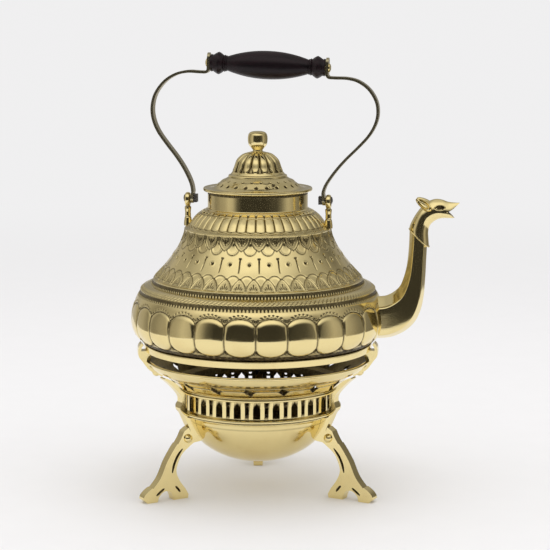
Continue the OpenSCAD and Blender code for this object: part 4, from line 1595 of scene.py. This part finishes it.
@dataclass
class Bail(SubAssembly):
    """The two halves of the strap and the rod through the grip."""

    body: ClassVar[Body] = Body.BAIL
    straight_z: float = 290.0
    pivot_z: float = 240.0

    def lean(self, obj: Piece, shift: float, past: float | None = None,
             right: bool = False) -> None:
        """Moves a piece's upper part, or its part past a place, to the side.

        Args:
            obj: The piece.
            shift: How far it moves, towards the picture's right.
            past: Where the part that moves starts, or None to move by height.
            right: Whether that part is the right one.
        """
        for vertex in obj.data.vertices:
            x, z = vertex.co.x / MM, vertex.co.z / MM
            if past is None:
                t = min(max((z - self.pivot_z) / (self.straight_z - self.pivot_z), 0.0), 1.0)
                vertex.co.x += shift * t * t * (3 - 2 * t) * MM
            elif (x > past) == right:
                vertex.co.x += shift * MM

    def build(self) -> None:
        """Builds and places the bail's pieces."""
        for side, shift in (("left", 2.7), ("right", -1.7)):
            strap = copy_of(f"bail_{side}")
            self.lean(strap, shift)
            softened(strap, 0.55, 3)
            self.place(strap, f"bail_{side}", slot=Slot.STRAP, angle=None)
        rod = copy_of("grip_rod")
        self.lean(rod, 2.7, -30.0, False)
        self.lean(rod, -1.7, 45.0, True)
        softened(rod, 0.2)
        self.place(rod, "grip_rod", angle=None)


@dataclass
class Grip(SubAssembly):
    """The turned wooden grip."""

    body: ClassVar[Body] = Body.GRIP
    centre: tuple[float, float, float] = (9.06, 0.0, 372.5)
    tilt: float = 2.0
    length: float = 100.2
    radius: float = 12.2
    bore: float = 2.7

    def build(self) -> None:
        """Builds and places the grip."""
        half, waist, barrel = self.length / 2, 6.2, self.length / 2 - 15.6
        end = [(6.8, 0.0), (7.4, 0.5), (7.5, 1.2), (7.1, 2.0), (7.3, 2.8), (8.3, 4.2),
               (9.3, 5.9), (9.7, 7.0), (9.3, 8.1), (8.2, 9.9), (7.0, 11.3), (6.6, 11.7),
               (7.1, 12.0), (7.3, 12.5), (7.0, 13.1), (6.5, 13.4), (6.8, 13.8), (6.8, 14.3),
               (6.4, 14.6), (waist, 14.9)]
        share = np.linspace(-1, 1, 61)
        middle = [(self.radius - (self.radius - waist - 0.3) * abs(s) ** 2.1, barrel * s)
                  for s in share]
        profile = ([(self.bore, -half)] + [(r, u - half) for r, u in end] + middle
                   + [(r, half - u) for r, u in end[::-1]] + [(self.bore, half)])
        obj = turned("grip_visual", profile, 96)
        aim = shift(*self.centre) @ spun(90 + self.tilt, "Y")
        self.place(moved(obj, aim), "grip", slot=Slot.WOOD)


@dataclass
class Lid(SubAssembly):
    """The lift-off lid: fluted dome, punched skirt, rolled edge, knob, bezel and nut."""

    body: ClassVar[Body] = Body.LID
    lid_r: float = 47.5
    neck_z: float = 264.0
    knob_z: float = 296.6
    sectors: int = 8

    def outline(self) -> Outline:
        """The cover's outside, from the knob's foot to under the rolled edge.

        Returns:
            The outline.
        """
        edge_z = self.neck_z + 2.8
        dome = through([[4.0, 298.4], [6, 297.9], [10.9, 296.2], [14.3, 294.3], [18.0, 290.4],
                        [20.3, 284.2], [22.0, 280.7], [25.1, 277.2], [26.35, 275.7], [28.6, 274.4],
                        [31.4, 272.9], [34.0, 270.7], [36.6, 268.5], [39.6, 267.0], [42.2, 266.5],
                        [45.6, 266.5]], 8)
        b = np.radians(np.linspace(75, -88, 16))
        rim = np.array([self.lid_r - 1.25, edge_z - 1.15]) + np.stack(
            [1.3 * np.cos(b), 1.5 * np.sin(b)], -1)
        line = np.concatenate([[[3.0, self.knob_z]], dome, rim,
                               [[self.lid_r - 2.2, self.neck_z + 0.05]]])
        return Outline(evenly(line, 0.5))

    def cover(self) -> None:
        """The cover, pressed in eight like sectors."""
        outline = self.outline()
        foot = outline.arc_at(21.6, 281.4)
        top = outline.arc_at(6.0, 297.9)
        roll = outline.arc_at(24.9, 277.4)
        rows = (outline.arc_at(30.3, 273.4), outline.arc_at(35.2, 269.7))
        full = outline.arc()[-1]

        def relief(across: Grid, along: Grid, half: Grid) -> tuple[Grid, Grid]:
            """Two flutes, their notched feet, a bead and two rows of punched dots."""
            u = across / half
            r = half / math.radians(22.5)
            off = 0.5 - np.abs(np.mod(u, 1.0) - 0.5)
            side = off * half
            deep = ease(top, top + 7, along) * ease(foot + 0.8, foot - 1.2, along)
            valley = stroke(side, 0.45 + 0.025 * r) * deep
            crown = 0.5 * deep * (1 - (1 - 2 * off) ** 2)
            notch = ease(-0.25, 0.45, (along - foot + 5.0) * 0.62 - side) * ease(
                foot + 0.6, foot - 0.1, along) * ease(foot - 5.2, foot - 4.4, along)
            bead = stroke(along - roll, 0.9) * 0.55
            lines = stroke(along - roll - 1.7, 0.4) + stroke(along - roll + 1.7, 0.4)
            dots, rims = 0.0 * side, 0.0 * side
            for row, shift, size in ((rows[0], 0.0, 1.2), (rows[1], 0.5, 1.75)):
                step = half * 2 / 3
                x = np.mod(across + half + shift * step, step) - step / 2
                far = np.hypot(x, along - row)
                dots = np.maximum(dots, ease(size + 0.1, size * 0.75, far))
                rims = np.maximum(rims, stroke(far - size - 0.35, 0.35))
            edge = stroke(along - (full - 5.2), 0.4)
            height = (-1.3 * valley + crown - 1.0 * notch + bead - 0.3 * lines - 0.6 * dots
                      + 0.12 * rims - 0.3 * edge)
            groove = np.clip(valley * 0.95 + notch + 0.5 * lines + 1.3 * dots
                             + 0.4 * edge, 0, 1)
            return height, groove

        self.emboss("lid_cover", "lid_cover_visual", outline, self.sectors, 80, relief, 15.25, 1.3, 12)

    def build(self) -> None:
        """Builds and places the lid's pieces."""
        self.cover()
        z = self.knob_z
        knob = turned("lid_knob_visual", rounded([
            (0, z - 5.5), (2, z - 5.5), (2, z), (5, z, 0.3), (5, z + 0.9, 0.4), (4.4, z + 1.4, 0.6),
            (4.2, z + 2.9, 0.8), (5.4, z + 4.2, 0.9), (7.8, z + 7.0, 2.0), (8.6, z + 10.0, 2.0),
            (8.6, z + 14.2, 1.8), (7.9, z + 16.9, 1.6), (6.2, z + 18.4, 1.4), (3.8, z + 19.0, 0.8),
            (0, z + 19.0)], 5), 96)
        self.place(knob, "lid_knob")
        for node in ("lid_bezel", "knob_nut"):
            self.place_copy(node, 0.3)


# Stand


@dataclass
class Stand(SubAssembly):
    """The rim, gallery, bowl, legs and brackets with their screws and rivets."""

    body: ClassVar[Body] = Body.STAND
    turn: float = 10.0
    legs: tuple[float, ...] = (210.0, 330.0, 90.0)
    brackets: tuple[float, ...] = (188.0, 352.0, 90.0)
    gallery_r: float = 69.2
    gallery_z: float = 75.0
    rim_z: float = 91.0
    moulding_r: float = 73.0
    rim_r: float = 98.2
    rim_top_z: float = 116.0
    bowl_r: float = 66.0
    bowl_depth: float = 50.0
    base_r: float = 99.8
    seat_z: float = 125.8
    leg_t: float = 8.5
    arches: int = 26
    vents: int = 17
    vent: tuple[float, float] = (4.6, 7.4)
    vent_r: float = 79.4

    def flare(self) -> Grid:
        """The flare's outline, from the moulding to the rim.

        Returns:
            Radii and heights.
        """
        foot = self.rim_z + 3.6
        shares = through([[0, 0], [0.08, 0.1], [0.28, 0.34], [0.48, 0.53], [0.8, 0.7], [1, 1]],
                         4)
        return np.array([self.moulding_r, foot]) + shares * np.array(
            [self.rim_r - self.moulding_r, self.rim_top_z - foot])

    def bowl_at(self, degrees: Grid) -> Grid:
        """Places on the bowl's outside, from its lowest point."""
        a = np.radians(degrees)
        return np.stack([self.bowl_r * np.sin(a), self.gallery_z - self.bowl_depth * np.cos(a)],
                        -1)

    def rim(self) -> None:
        """The flared rim with its fine steps, its rolled edge and its slanted vents."""
        flare = Outline(evenly(self.flare(), 0.45))
        n, z = flare.normal() * -1, flare.points[:, 1]
        step = 0.35 * stroke(z - 101.6, 0.32) + 0.25 * stroke(z - 105.2, 0.32)
        outer = flare.points - n * step[:, None]
        keep = (z > 96.2) & (z < 115.2)
        inner = (flare.points - n * 1.7)[keep][::-1]
        r, top = self.rim_r, self.rim_top_z
        b = np.radians(np.linspace(-70, 200, 22))
        roll = np.array([r - 0.85, top + 0.35]) + 1.45 * np.stack([np.cos(b), np.sin(b)], -1)
        m, low = self.moulding_r, self.rim_z
        mouldings = rounded([(67.55, low - 1.2), (67.55, low), (m - 0.2, low, 0.3),
                             (m + 0.35, low + 0.7, 0.5), (m + 0.35, low + 1.9, 0.5),
                             (m - 0.35, low + 2.35, 0.15), (m + 0.3, low + 2.9, 0.4),
                             (m + 0.1, low + 3.6, 0.3)])
        profile = np.concatenate([mouldings, outer[1:-2], roll, inner,
                                  [(66.05, 96.0), (66.05, low - 1.2)]])

        def tarnish_and_shade(radius: Grid, height: Grid) -> Grid:
            """Soot and painted shade inside, and painted shade in thin lines in the steps."""
            inside = np.arange(len(radius)) >= len(radius) - len(inner) - 2
            # Thin lines of painted shade in the steps and under the moulding.
            line = stroke(height - 101.6, 0.35) + stroke(height - 105.2, 0.35) * 0.8 + stroke(
                height - (low + 2.35), 0.3)
            return np.where(inside, 0.85, np.clip(line * 0.8, 0, 1))

        obj = turned("stand_rim_visual", profile, 204, tarnish_and_shade)
        half, tall, long_ = self.vent[0] / 2, 9.0, self.vent[1]
        spots = [spun(self.turn + i * 360 / self.vents - 116.8)
                 @ shift(self.vent_r, 0, 99.5) @ spun(34)
                 for i in range(self.vents)]
        line = [(-half, -tall), (half, -tall), (half, tall), (-half, tall)]
        cut(obj, [joined("bars", [prism("bar", line, long_, spot) for spot in spots])])
        softened(obj, 0.22, 2, 50)
        # The vents' walls are painted dark: painted shade inside the vents.
        darken(obj, lambda places: within(spots, (-half - 0.03, -long_ / 2 - 0.03, -tall),
                                          (half + 0.03, long_ / 2 + 0.03, tall), places))
        self.place(obj, "stand_rim", angle=None)

    def gallery(self) -> None:
        """The pierced ring of pointed arches, slots and dots."""
        step = 360 / self.arches
        wide = 0.37 * self.gallery_r * math.radians(step)
        slim = 0.54 * wide
        low, top = self.gallery_z + 1.0, 13.4
        side = [(wide / 2, top - 4.4), (wide / 2 - 0.5, top - 3.3), (wide / 2 - 1.4, top - 2.3),
                (0.7, top - 1.2)]
        arch = ([(-wide / 2, 0), (wide / 2, 0)] + side + [(0, top)]
                + [(-x, z) for x, z in side[::-1]])
        slot = [(-slim / 2, 1.8), (slim / 2, 1.8), (slim / 2, top - 3.6), (-slim / 2, top - 3.6)]
        a = np.linspace(0, TURN, 20, endpoint=False)
        dot = [(1.45 * math.cos(v), top - 0.4 + 1.45 * math.sin(v)) for v in a]
        r = self.gallery_r
        # The ring's inside is painted dark: painted shade.
        ring = turned("gallery_visual", [(r - 1.5, self.gallery_z), (r, self.gallery_z),
                                         (r, self.rim_z), (r - 1.5, self.rim_z)], 208,
                      lambda radius, height: np.where(radius < r - 1, 0.95, 0.0))
        tools, heres = [], []
        for i in range(self.arches):
            here, next_ = (spun(self.turn - 1 + (i + k) * step) @ shift(0, -r, low)
                           for k in (0, 0.5))
            heres += [here, next_]
            tools += [prism("arch", arch, 8, here), prism("slot", slot, 8, next_),
                      prism("dot", dot, 8, next_)]
        cut(ring, [joined("piercing", tools)])
        softened(ring, 0.18, 2, 50)
        size = (wide / 2 + 0.03, 4.0, top + 0.03)
        # The piercings' walls are painted dark: painted shade in the arches and slots.
        darken(ring, lambda places: within(heres[::2], (-size[0], -4, -0.03), size, places)
               | within(heres[1::2], (-slim / 2 - 0.03, -4, -0.03),
                        (slim / 2 + 0.03, 4, top + slim), places))
        self.place(ring, "gallery", angle=None)

    def bowl(self) -> None:
        """The round bowl with the moulding over it."""
        outer = self.bowl_at(np.linspace(2, 82.5, 60))
        inner = self.bowl_at(np.linspace(24, 78, 22)) * np.array(
            [(self.bowl_r - 1.5) / self.bowl_r, 1.0]) + np.array([0, 1.2])
        m, z = self.moulding_r, self.gallery_z
        profile = np.concatenate([
            [(0, z - self.bowl_depth)], outer,
            rounded([(66.1, z - 5.9, 0.3), (m - 3.2, z - 4.6, 0.5), (m - 3.4, z - 3.4, 0.3),
                     (m - 0.3, z - 2.9, 0.5), (m + 0.25, z - 2.0, 0.5), (m + 0.25, z - 0.6, 0.6),
                     (m - 0.6, z, 0.4), (67.55, z), (67.55, z + 1.2), (66.05, z + 1.2),
                     (66.05, z - 2)]),
            inner[inner[:, 1] > 30.5][::-1], [(17, 29), (0, 29)]])

        def tarnish_and_shade(radius: Grid, height: Grid) -> Grid:
            """Soot and painted shade inside, a dark line lower on the bowl, and painted shade in two
            lines under the moulding.
            """
            inside = np.arange(len(radius)) > len(radius) - 2 - np.sum(inner[:, 1] > 30.5)
            # Painted shade inside and in the lines under the moulding.
            return np.where(inside, 0.95, 0.45 * stroke(height - 65.2, 0.5) * (radius > 50)
                            + 0.6 * stroke(height - (z - 3.2), 0.4) * (radius < m - 2)
                            + 0.9 * (np.abs(height - (z - 2.55)) < 0.5) * (radius > m - 1))

        obj = turned("bowl_visual", profile, 208, tarnish_and_shade)
        self.place(obj, "bowl", angle=40)

    def engraving(self, path: Sequence[Point], width: float, matrix: Matrix,
                  side: int) -> Piece:
        """A tool that engraves a line in a leg's side.

        Args:
            path: The line's radius and height.
            width: The line's width.
            matrix: The leg's place.
            side: The leg's side, -1 or 1.

        Returns:
            The tool, a closed bar.
        """
        line = through(path, 6)
        near, far = side * (self.leg_t / 2 - 1.3), side * (self.leg_t / 2 + 1.5)
        fade = np.minimum(1, np.linspace(0, 1, len(line)) * 4)
        fade = np.minimum(fade, fade[::-1]) * 0.6 + 0.4
        rows = []
        for point, normal, size in zip(line, Outline(line).normal(), fade):
            a, b = point + normal * width / 2 * size, point - normal * width / 2 * size
            rows.append([(a[0], near, a[1]), (a[0], far, a[1]), (b[0], far, b[1]),
                         (b[0], near, b[1])])
        return moved(capped("groove_tool", np.array(rows)), matrix)

    def leg_outline(self) -> list[Point]:
        """A leg's outline in its own plane.

        Returns:
            The outline's corners.
        """
        inner = through([[-6.3, 48.5], [-1.7, 45.4], [5.4, 39.6], [9.7, 31.2], [10.9, 24.2],
                         [7.7, 16.2], [2.3, 8.8]], 6)
        arch = through([[14.2, 2.6], [16.3, 6.8], [20, 8.7], [24.2, 8.0], [28.0, 4.4]], 5)
        outer = np.concatenate([
            through([[42.9, 3.6], [42.0, 6.8], [38.4, 10.4], [34.2, 12.9]], 4), [[33.2, 12.6]],
            through([[32.4, 13.5], [27.4, 19.2], [24.2, 24.8], [19.9, 34.2], [13.9, 43.6],
                     [9.8, 49.0]], 5), [[9.1, 48.7]],
            through([[8.3, 50.0], [5.6, 54.2], [3.2, 59.2]], 4)])
        knee = through([[-1.6, 63], [1, 68.4], [3.6, 74.2], [6.9, 79.4], [5.2, 84], [5, 88.6]], 6)
        leg = np.concatenate([[[-18, 52], [-12.9, 49.2]], inner, [[-0.7, 3.2], [0, 0], [13.8, 0]],
                              arch, [[29.2, 0], [39.0, 0]], outer, [[-1.4, 62.2], [-3.4, 58]],
                              knee]) + np.array([self.moulding_r, 0])
        prong = np.concatenate([
            through([[79.2, 91.4], [82.7, 95.7], [88.5, 101.6], [94.2, 106.4]], 4),
            [[94.7, 107.3], [94.0, 108.1]],
            through([[92.6, 107.7], [86.6, 104.6], [80.9, 99.8], [76.8, 96.2], [72.6, 94.0]], 4)])
        return [tuple(p) for p in np.concatenate([leg, prong])]

    def engraved(self, places: Grid, lines: Sequence[tuple[Grid, float]],
                 matrix: Matrix) -> Grid:
        """Whether each place lies in one of a leg's engraved lines.

        Args:
            places: The places in millimetres.
            lines: Points along each line, and its width.
            matrix: The leg's place.

        Returns:
            One truth value for each place.
        """
        local = seen_from(matrix, places)
        deep = np.abs(local[:, 1]) < self.leg_t / 2 - 0.25
        found = np.zeros(len(places), bool)
        for points, width in lines:
            far = np.hypot(local[:, None, 0] - points[None, :, 0],
                           local[:, None, 2] - points[None, :, 1]).min(1)
            found |= deep & (far < width / 2 + 0.12)
        return found

    def envelope(self, gap: float) -> Piece:
        """The stand's shells as one solid, to fit legs and brackets against.

        Args:
            gap: How far outside the shells it lies.

        Returns:
            The solid.
        """
        m = self.moulding_r
        profile = np.concatenate([
            [(0, 21.0)], self.bowl_at(np.linspace(4, 81, 34)) * (1 + gap / 60),
            [(self.bowl_r + gap, 69), (m + gap, 71.4), (m + gap, self.rim_z + 3.6)],
            self.flare()[1:] + np.array([gap, -gap]), [(self.rim_r + gap, 136), (0, 136)]])
        return turned("envelope", profile, 240)

    def leg_set(self) -> None:
        """The three legs with their engraved lines."""
        names = ("leg_front_left", "leg_front_right", "leg_back")
        lines = [([(77.9, 44.4), (82.8, 38.4), (86.2, 31.4), (88.0, 24.0)], 2.3),
                 ([(85.0, 12.0), (82.7, 9.4), (80.4, 6.4)], 2.0),
                 ([(95.8, 11.3), (99.6, 8.8), (103.6, 5.8)], 2.0)]
        for name, angle in zip(names, self.legs):
            spot = spun(self.turn + angle)
            leg = prism(f"{name}_visual", self.leg_outline(), self.leg_t, spot)
            cut(leg, [self.envelope(0.15)])
            tools = [self.engraving(path, width, spot, side) for path, width in lines
                     for side in (-1, 1)]
            cut(leg, [joined("lines", tools)])
            softened(leg, 0.5, 3, 34)
            dots = [(through(path, 12), width) for path, width in lines]
            darken(leg, lambda places, dots=dots, spot=spot: self.engraved(places, dots, spot))
            self.place(leg, name, angle=None)

    def bracket_set(self) -> None:
        """The three brackets: a riveted tail, a curl round the base band, and a shelf."""
        flare = self.flare()
        tail = flare - 1.45 * Outline(flare).normal()
        curl = [(1.6, -8.2), (4.4, -4.4), (4.8, 0.4), (3.9, 4.0), (2.2, 6.0)]
        path = through([*tail[[11, 14, 17]], *[(self.base_r + x, self.seat_z + z)
                                               for x, z in curl]], 6)
        n = Outline(path).normal() * 1.3
        strap = [tuple(v) for v in np.concatenate([path + n, (path - n)[::-1]])]
        b, z, top = self.base_r, self.seat_z, self.rim_top_z
        shelf = [(b - 5.6, z), (b + 4.6, z), (b + 4.6, z - 3), (b, top + 1.4),
                 (b - 1.2, top + 0.05), (b - 4.2, top + 0.05), (b - 5.6, z - 3)]
        for name, angle in zip(("bracket_left", "bracket_right", "bracket_back"), self.brackets):
            spot = spun(self.turn + angle)
            obj = prism(f"{name}_visual", strap, 11.5, spot)
            cut(obj, [prism("shelf", shelf, 11.5 - 0.02, spot)], "UNION")
            softened(obj, 0.45, 3, 40)
            self.place(obj, name, angle=None)

    def fasteners(self) -> None:
        """The ball rivets at the knees, the brackets' rivets and the screws inside."""
        ball = turned("ball", [(0, -1.2), (2.2, -1.2), (3.8, 0), (3.85, 0.5), (3.6, 1.4),
                               (3.1, 2.2), (2.4, 2.9), (1.5, 3.3), (0.7, 3.5), (0, 3.55)], 28)
        spots = []
        for angle in self.legs:
            turn = spun(self.turn + angle)
            spots += [(turn @ Vector((72.4, side * (self.leg_t / 2 + 0.02), 52.8)),
                       turn @ Vector((0, side, 0))) for side in (-1, 1)]
        self.set_out("leg_rivets", spots, ball)
        flare = self.flare()
        p, d = flare[14], flare[15] - flare[13]
        d /= np.linalg.norm(d)
        head = turned("head", [(0, -1.0), (2.0, -1.0), (3.4, 0), (3.35, 0.5), (2.9, 1.3),
                               (2.1, 2.0), (1.0, 2.45), (0, 2.5)], 28)
        spots = []
        for angle in self.brackets:
            turn, n = spun(self.turn + angle), Vector((d[1], 0, -d[0]))
            spots.append((turn @ (Vector((p[0], 0, p[1])) + n * 2.8), turn @ n))
        self.set_out("bracket_rivets", spots, head)
        self.place_copy("leg_screws", 0.25, slot=Slot.STEEL)

    def build(self) -> None:
        """Builds and places the stand."""
        for make in (self.rim, self.gallery, self.bowl, self.leg_set, self.bracket_set,
                     self.fasteners):
            make()


@dataclass
class Burner(SubAssembly):
    """The font, its collar, the wick's tube and the wick."""

    body: ClassVar[Body] = Body.BURNER

    def build(self) -> None:
        """Builds and places the burner."""
        for node in ("burner_font", "burner_collar", "wick_tube"):
            self.place_copy(node, 0.4, finish=self.kit.soot)
        self.place_copy("wick", 0.8, 3, Slot.COTTON)


# Studio


@dataclass
class Studio:
    """A dark room with a wide soft light, round a white table with white paper behind."""

    azimuth: float = 10.0
    pale: float = 0.87
    light: float = 0.92
    table_front: float = 0.78
    table_side: float = 0.66

    def paper(self) -> Colour:
        """The white that the camera sees behind and far out."""
        return rgb(self.pale, self.pale * 0.995, self.pale)

    @staticmethod
    def seen_in_gloss(board: Board) -> Socket:
        """1 for what is seen in gloss or through glass, and 0 otherwise."""
        path = board.add("ShaderNodeLightPath").outputs
        return board.math("MAXIMUM", path["Is Glossy Ray"], path["Is Transmission Ray"])

    def axes(self, board: Board, way: Sequence[Socket]) -> tuple[Socket, Socket]:
        """How far a vector goes towards the camera, and how far to the picture's right.

        Args:
            board: The tree's board.
            way: The vector's three parts.

        Returns:
            Both lengths.
        """
        a = math.radians(self.azimuth)
        front = board.math("SUBTRACT", board.math("MULTIPLY", way[0], math.sin(a)),
                           board.math("MULTIPLY", way[1], math.cos(a)))
        aside = board.math("ADD", board.math("MULTIPLY", way[0], math.cos(a)),
                           board.math("MULTIPLY", way[1], math.sin(a)))
        return front, aside

    @staticmethod
    def ramp(board: Board, factor: Socket, stops: Sequence[Point],
             tint: float) -> Socket:
        """Grey levels all the way round, by the angle from the camera.

        Args:
            board: The tree's board.
            factor: The angle as a share of the turn, with the camera in the middle.
            stops: Angle and level of each stop.
            tint: How warm the darker levels are.

        Returns:
            The colour's socket.
        """
        node = board.add("ShaderNodeValToRGB", {"Fac": factor})
        band = node.color_ramp
        while len(band.elements) < len(stops):
            band.elements.new(0.5)
        for element, (angle, value) in zip(band.elements, stops):
            element.position = 0.5 + angle / 360
            element.color = rgb(value, value * (1 - tint * 0.4), value * (1 - tint))
        return node.outputs["Color"]

    def world(self) -> None:
        """Paints the room by direction: soft lights at the sides and above, dark in front."""
        world = bpy.data.worlds.new("room")
        bpy.context.scene.world = world
        world.use_nodes = True
        board = Board(world.node_tree)
        nodes = world.node_tree.nodes
        way = board.add("ShaderNodeSeparateXYZ", {
            0: board.add("ShaderNodeTexCoord").outputs["Generated"]}).outputs
        front, aside = self.axes(board, way)
        around = board.math("DIVIDE", board.math("ARCTAN2", aside, front), TURN)
        around = board.math("ADD", around, 0.5)
        rise = board.math("ARCSINE", way[2])
        low = self.ramp(board, around, [
            (-180, 0.6), (-150, 0.48), (-125, 0.4), (-112, 0.25), (-95, 0.36), (-80, 0.42),
            (-70, 0.58), (-60, 0.5), (-48, 0.12), (-38, 0.035), (18, 0.035), (45, 0.07),
            (55, 0.16), (73, 0.5), (88, 0.38), (105, 0.22), (130, 0.16), (150, 0.35),
            (180, 0.6)], 0.12)
        high = self.ramp(board, around, [
            (-180, 0.42), (-115, 0.45), (-90, 0.62), (-62, 0.95), (-20, 1.1), (20, 1.05),
            (62, 0.75), (92, 0.45), (120, 0.36), (180, 0.42)], 0.06)
        climb = board.between(rise, math.radians(20), math.radians(42))
        walls = board.mix(climb, low, high)
        behind = board.math("MULTIPLY", board.between(front, -0.78, -0.95), board.math(
            "MULTIPLY", board.between(rise, math.radians(1), math.radians(5)),
            board.between(rise, math.radians(42), math.radians(28))))
        walls = board.mix(behind, walls, rgb(0.29, 0.28, 0.26))
        zenith = board.between(rise, math.radians(62), math.radians(80))
        room = board.mix(zenith, walls, rgb(0.62, 0.6, 0.57))
        path = board.add("ShaderNodeLightPath").outputs
        seen = board.mix(path["Is Camera Ray"], rgb(self.light, self.light, self.light),
                         self.paper())
        board.join(board.mix(self.seen_in_gloss(board), seen, room),
                   nodes["Background"].inputs["Color"])
        nodes["Background"].inputs["Strength"].default_value = 1.0

    def floor(self) -> None:
        """The table, which fades into the paper far out and has an end for reflections."""
        angle = np.linspace(0, TURN, 96, endpoint=False)
        radii = np.array([0.0, 150, 300, 600, 1200, 2400, 4500])[:, None]
        points = np.stack([radii * np.cos(angle), radii * np.sin(angle), 0 * radii + 0 * angle], -1)
        obj = grid_object("table", points, True, False)
        if obj.data.polygons[-1].normal.z < 0:
            obj.data.flip_normals()
        material, board, shader = new_material("white table")
        where = board.where()
        spot = board.add("ShaderNodeSeparateXYZ", {0: where}).outputs
        grain = board.noise(where, 30.0, 3.0)
        tone = board.mix(grain, rgb(0.84, 0.83, 0.835), rgb(0.86, 0.85, 0.855))
        board.join(tone, shader.inputs["Base Color"])
        shader.inputs["Roughness"].default_value = 0.7
        shader.inputs["Specular IOR Level"].default_value = 0.2
        far = board.math("SQRT", board.math("ADD", board.math("MULTIPLY", spot[0], spot[0]),
                                            board.math("MULTIPLY", spot[1], spot[1])))
        fade = board.between(far, 0.7, 2.2)
        front, aside = self.axes(board, spot)
        beyond = board.math("MAXIMUM",
                            board.between(front, self.table_front, self.table_front + 0.06),
                            board.between(board.math("ABSOLUTE", aside), self.table_side,
                                          self.table_side + 0.1))
        behind = board.between(front, -0.9, -1.2)
        beyond = board.math("MAXIMUM", beyond, behind)
        gone = board.math("MULTIPLY", beyond, self.seen_in_gloss(board))
        glow = board.add("ShaderNodeEmission", {"Color": self.paper(), "Strength": 1.0})
        clear = board.add("ShaderNodeBsdfTransparent")
        one = board.add("ShaderNodeMixShader", {0: fade, 1: shader.outputs[0],
                                                2: glow.outputs[0]})
        two = board.add("ShaderNodeMixShader", {0: gone, 1: one.outputs[0], 2: clear.outputs[0]})
        board.join(two.outputs[0], material.node_tree.nodes["Material Output"].inputs["Surface"])
        obj.data.materials.append(material)

    def lamps(self) -> None:
        """One wide soft lamp above and one on each side."""
        for name, spot, size, watts in (("roof", (0.1, -0.1, 1.9), 1.6, 8.5),
                                        ("left", (-1.7, -0.5, 0.9), 1.1, 2.5),
                                        ("right", (1.7, -0.4, 0.9), 1.1, 2.5)):
            data = bpy.data.lights.new(name, "AREA")
            data.energy, data.size = watts, size
            obj = linked(name, data)
            obj.location = spot
            obj.rotation_euler = (Vector((0, 0, 0.15)) - Vector(spot)).to_track_quat(
                "-Z", "Y").to_euler()
            obj.visible_glossy = False

    def build(self) -> None:
        """Builds the studio."""
        self.world()
        self.floor()
        self.lamps()
        bpy.context.scene.view_settings.view_transform = "Standard"
        LOG.info("studio built")


@dataclass
class PhotoCamera:
    """The photograph's camera."""

    azimuth: float = 10.0
    distance: float = 1.7
    height: float = 0.451
    pitch: float = 8.74
    swing: float = 0.504
    lens: float = 128.67

    def build(self) -> None:
        """Builds the camera and makes it the scene's own."""
        data = bpy.data.cameras.new("camera")
        data.sensor_width, data.lens = 36.0, self.lens
        obj = linked("camera", data)
        a = math.radians(self.azimuth)
        obj.location = (self.distance * math.sin(a), -self.distance * math.cos(a), self.height)
        obj.rotation_euler = (math.radians(90 - self.pitch), 0,
                              math.radians(self.azimuth - self.swing))
        bpy.context.scene.camera = obj


def main() -> None:
    """Builds everything in order."""
    logging.basicConfig(level=logging.INFO, format="%(name)s: %(message)s")
    PhotoCamera().build()
    Studio().build()
    kit = Kit.make()
    shell = KettleBody(kit)
    for part in (shell, PanAndNeck(kit), Spout(kit, shell), EarsAndBolts(kit), Bail(kit),
                 Grip(kit), Lid(kit), Stand(kit), Burner(kit)):
        part.build()


if __name__ == "__main__":
    main()
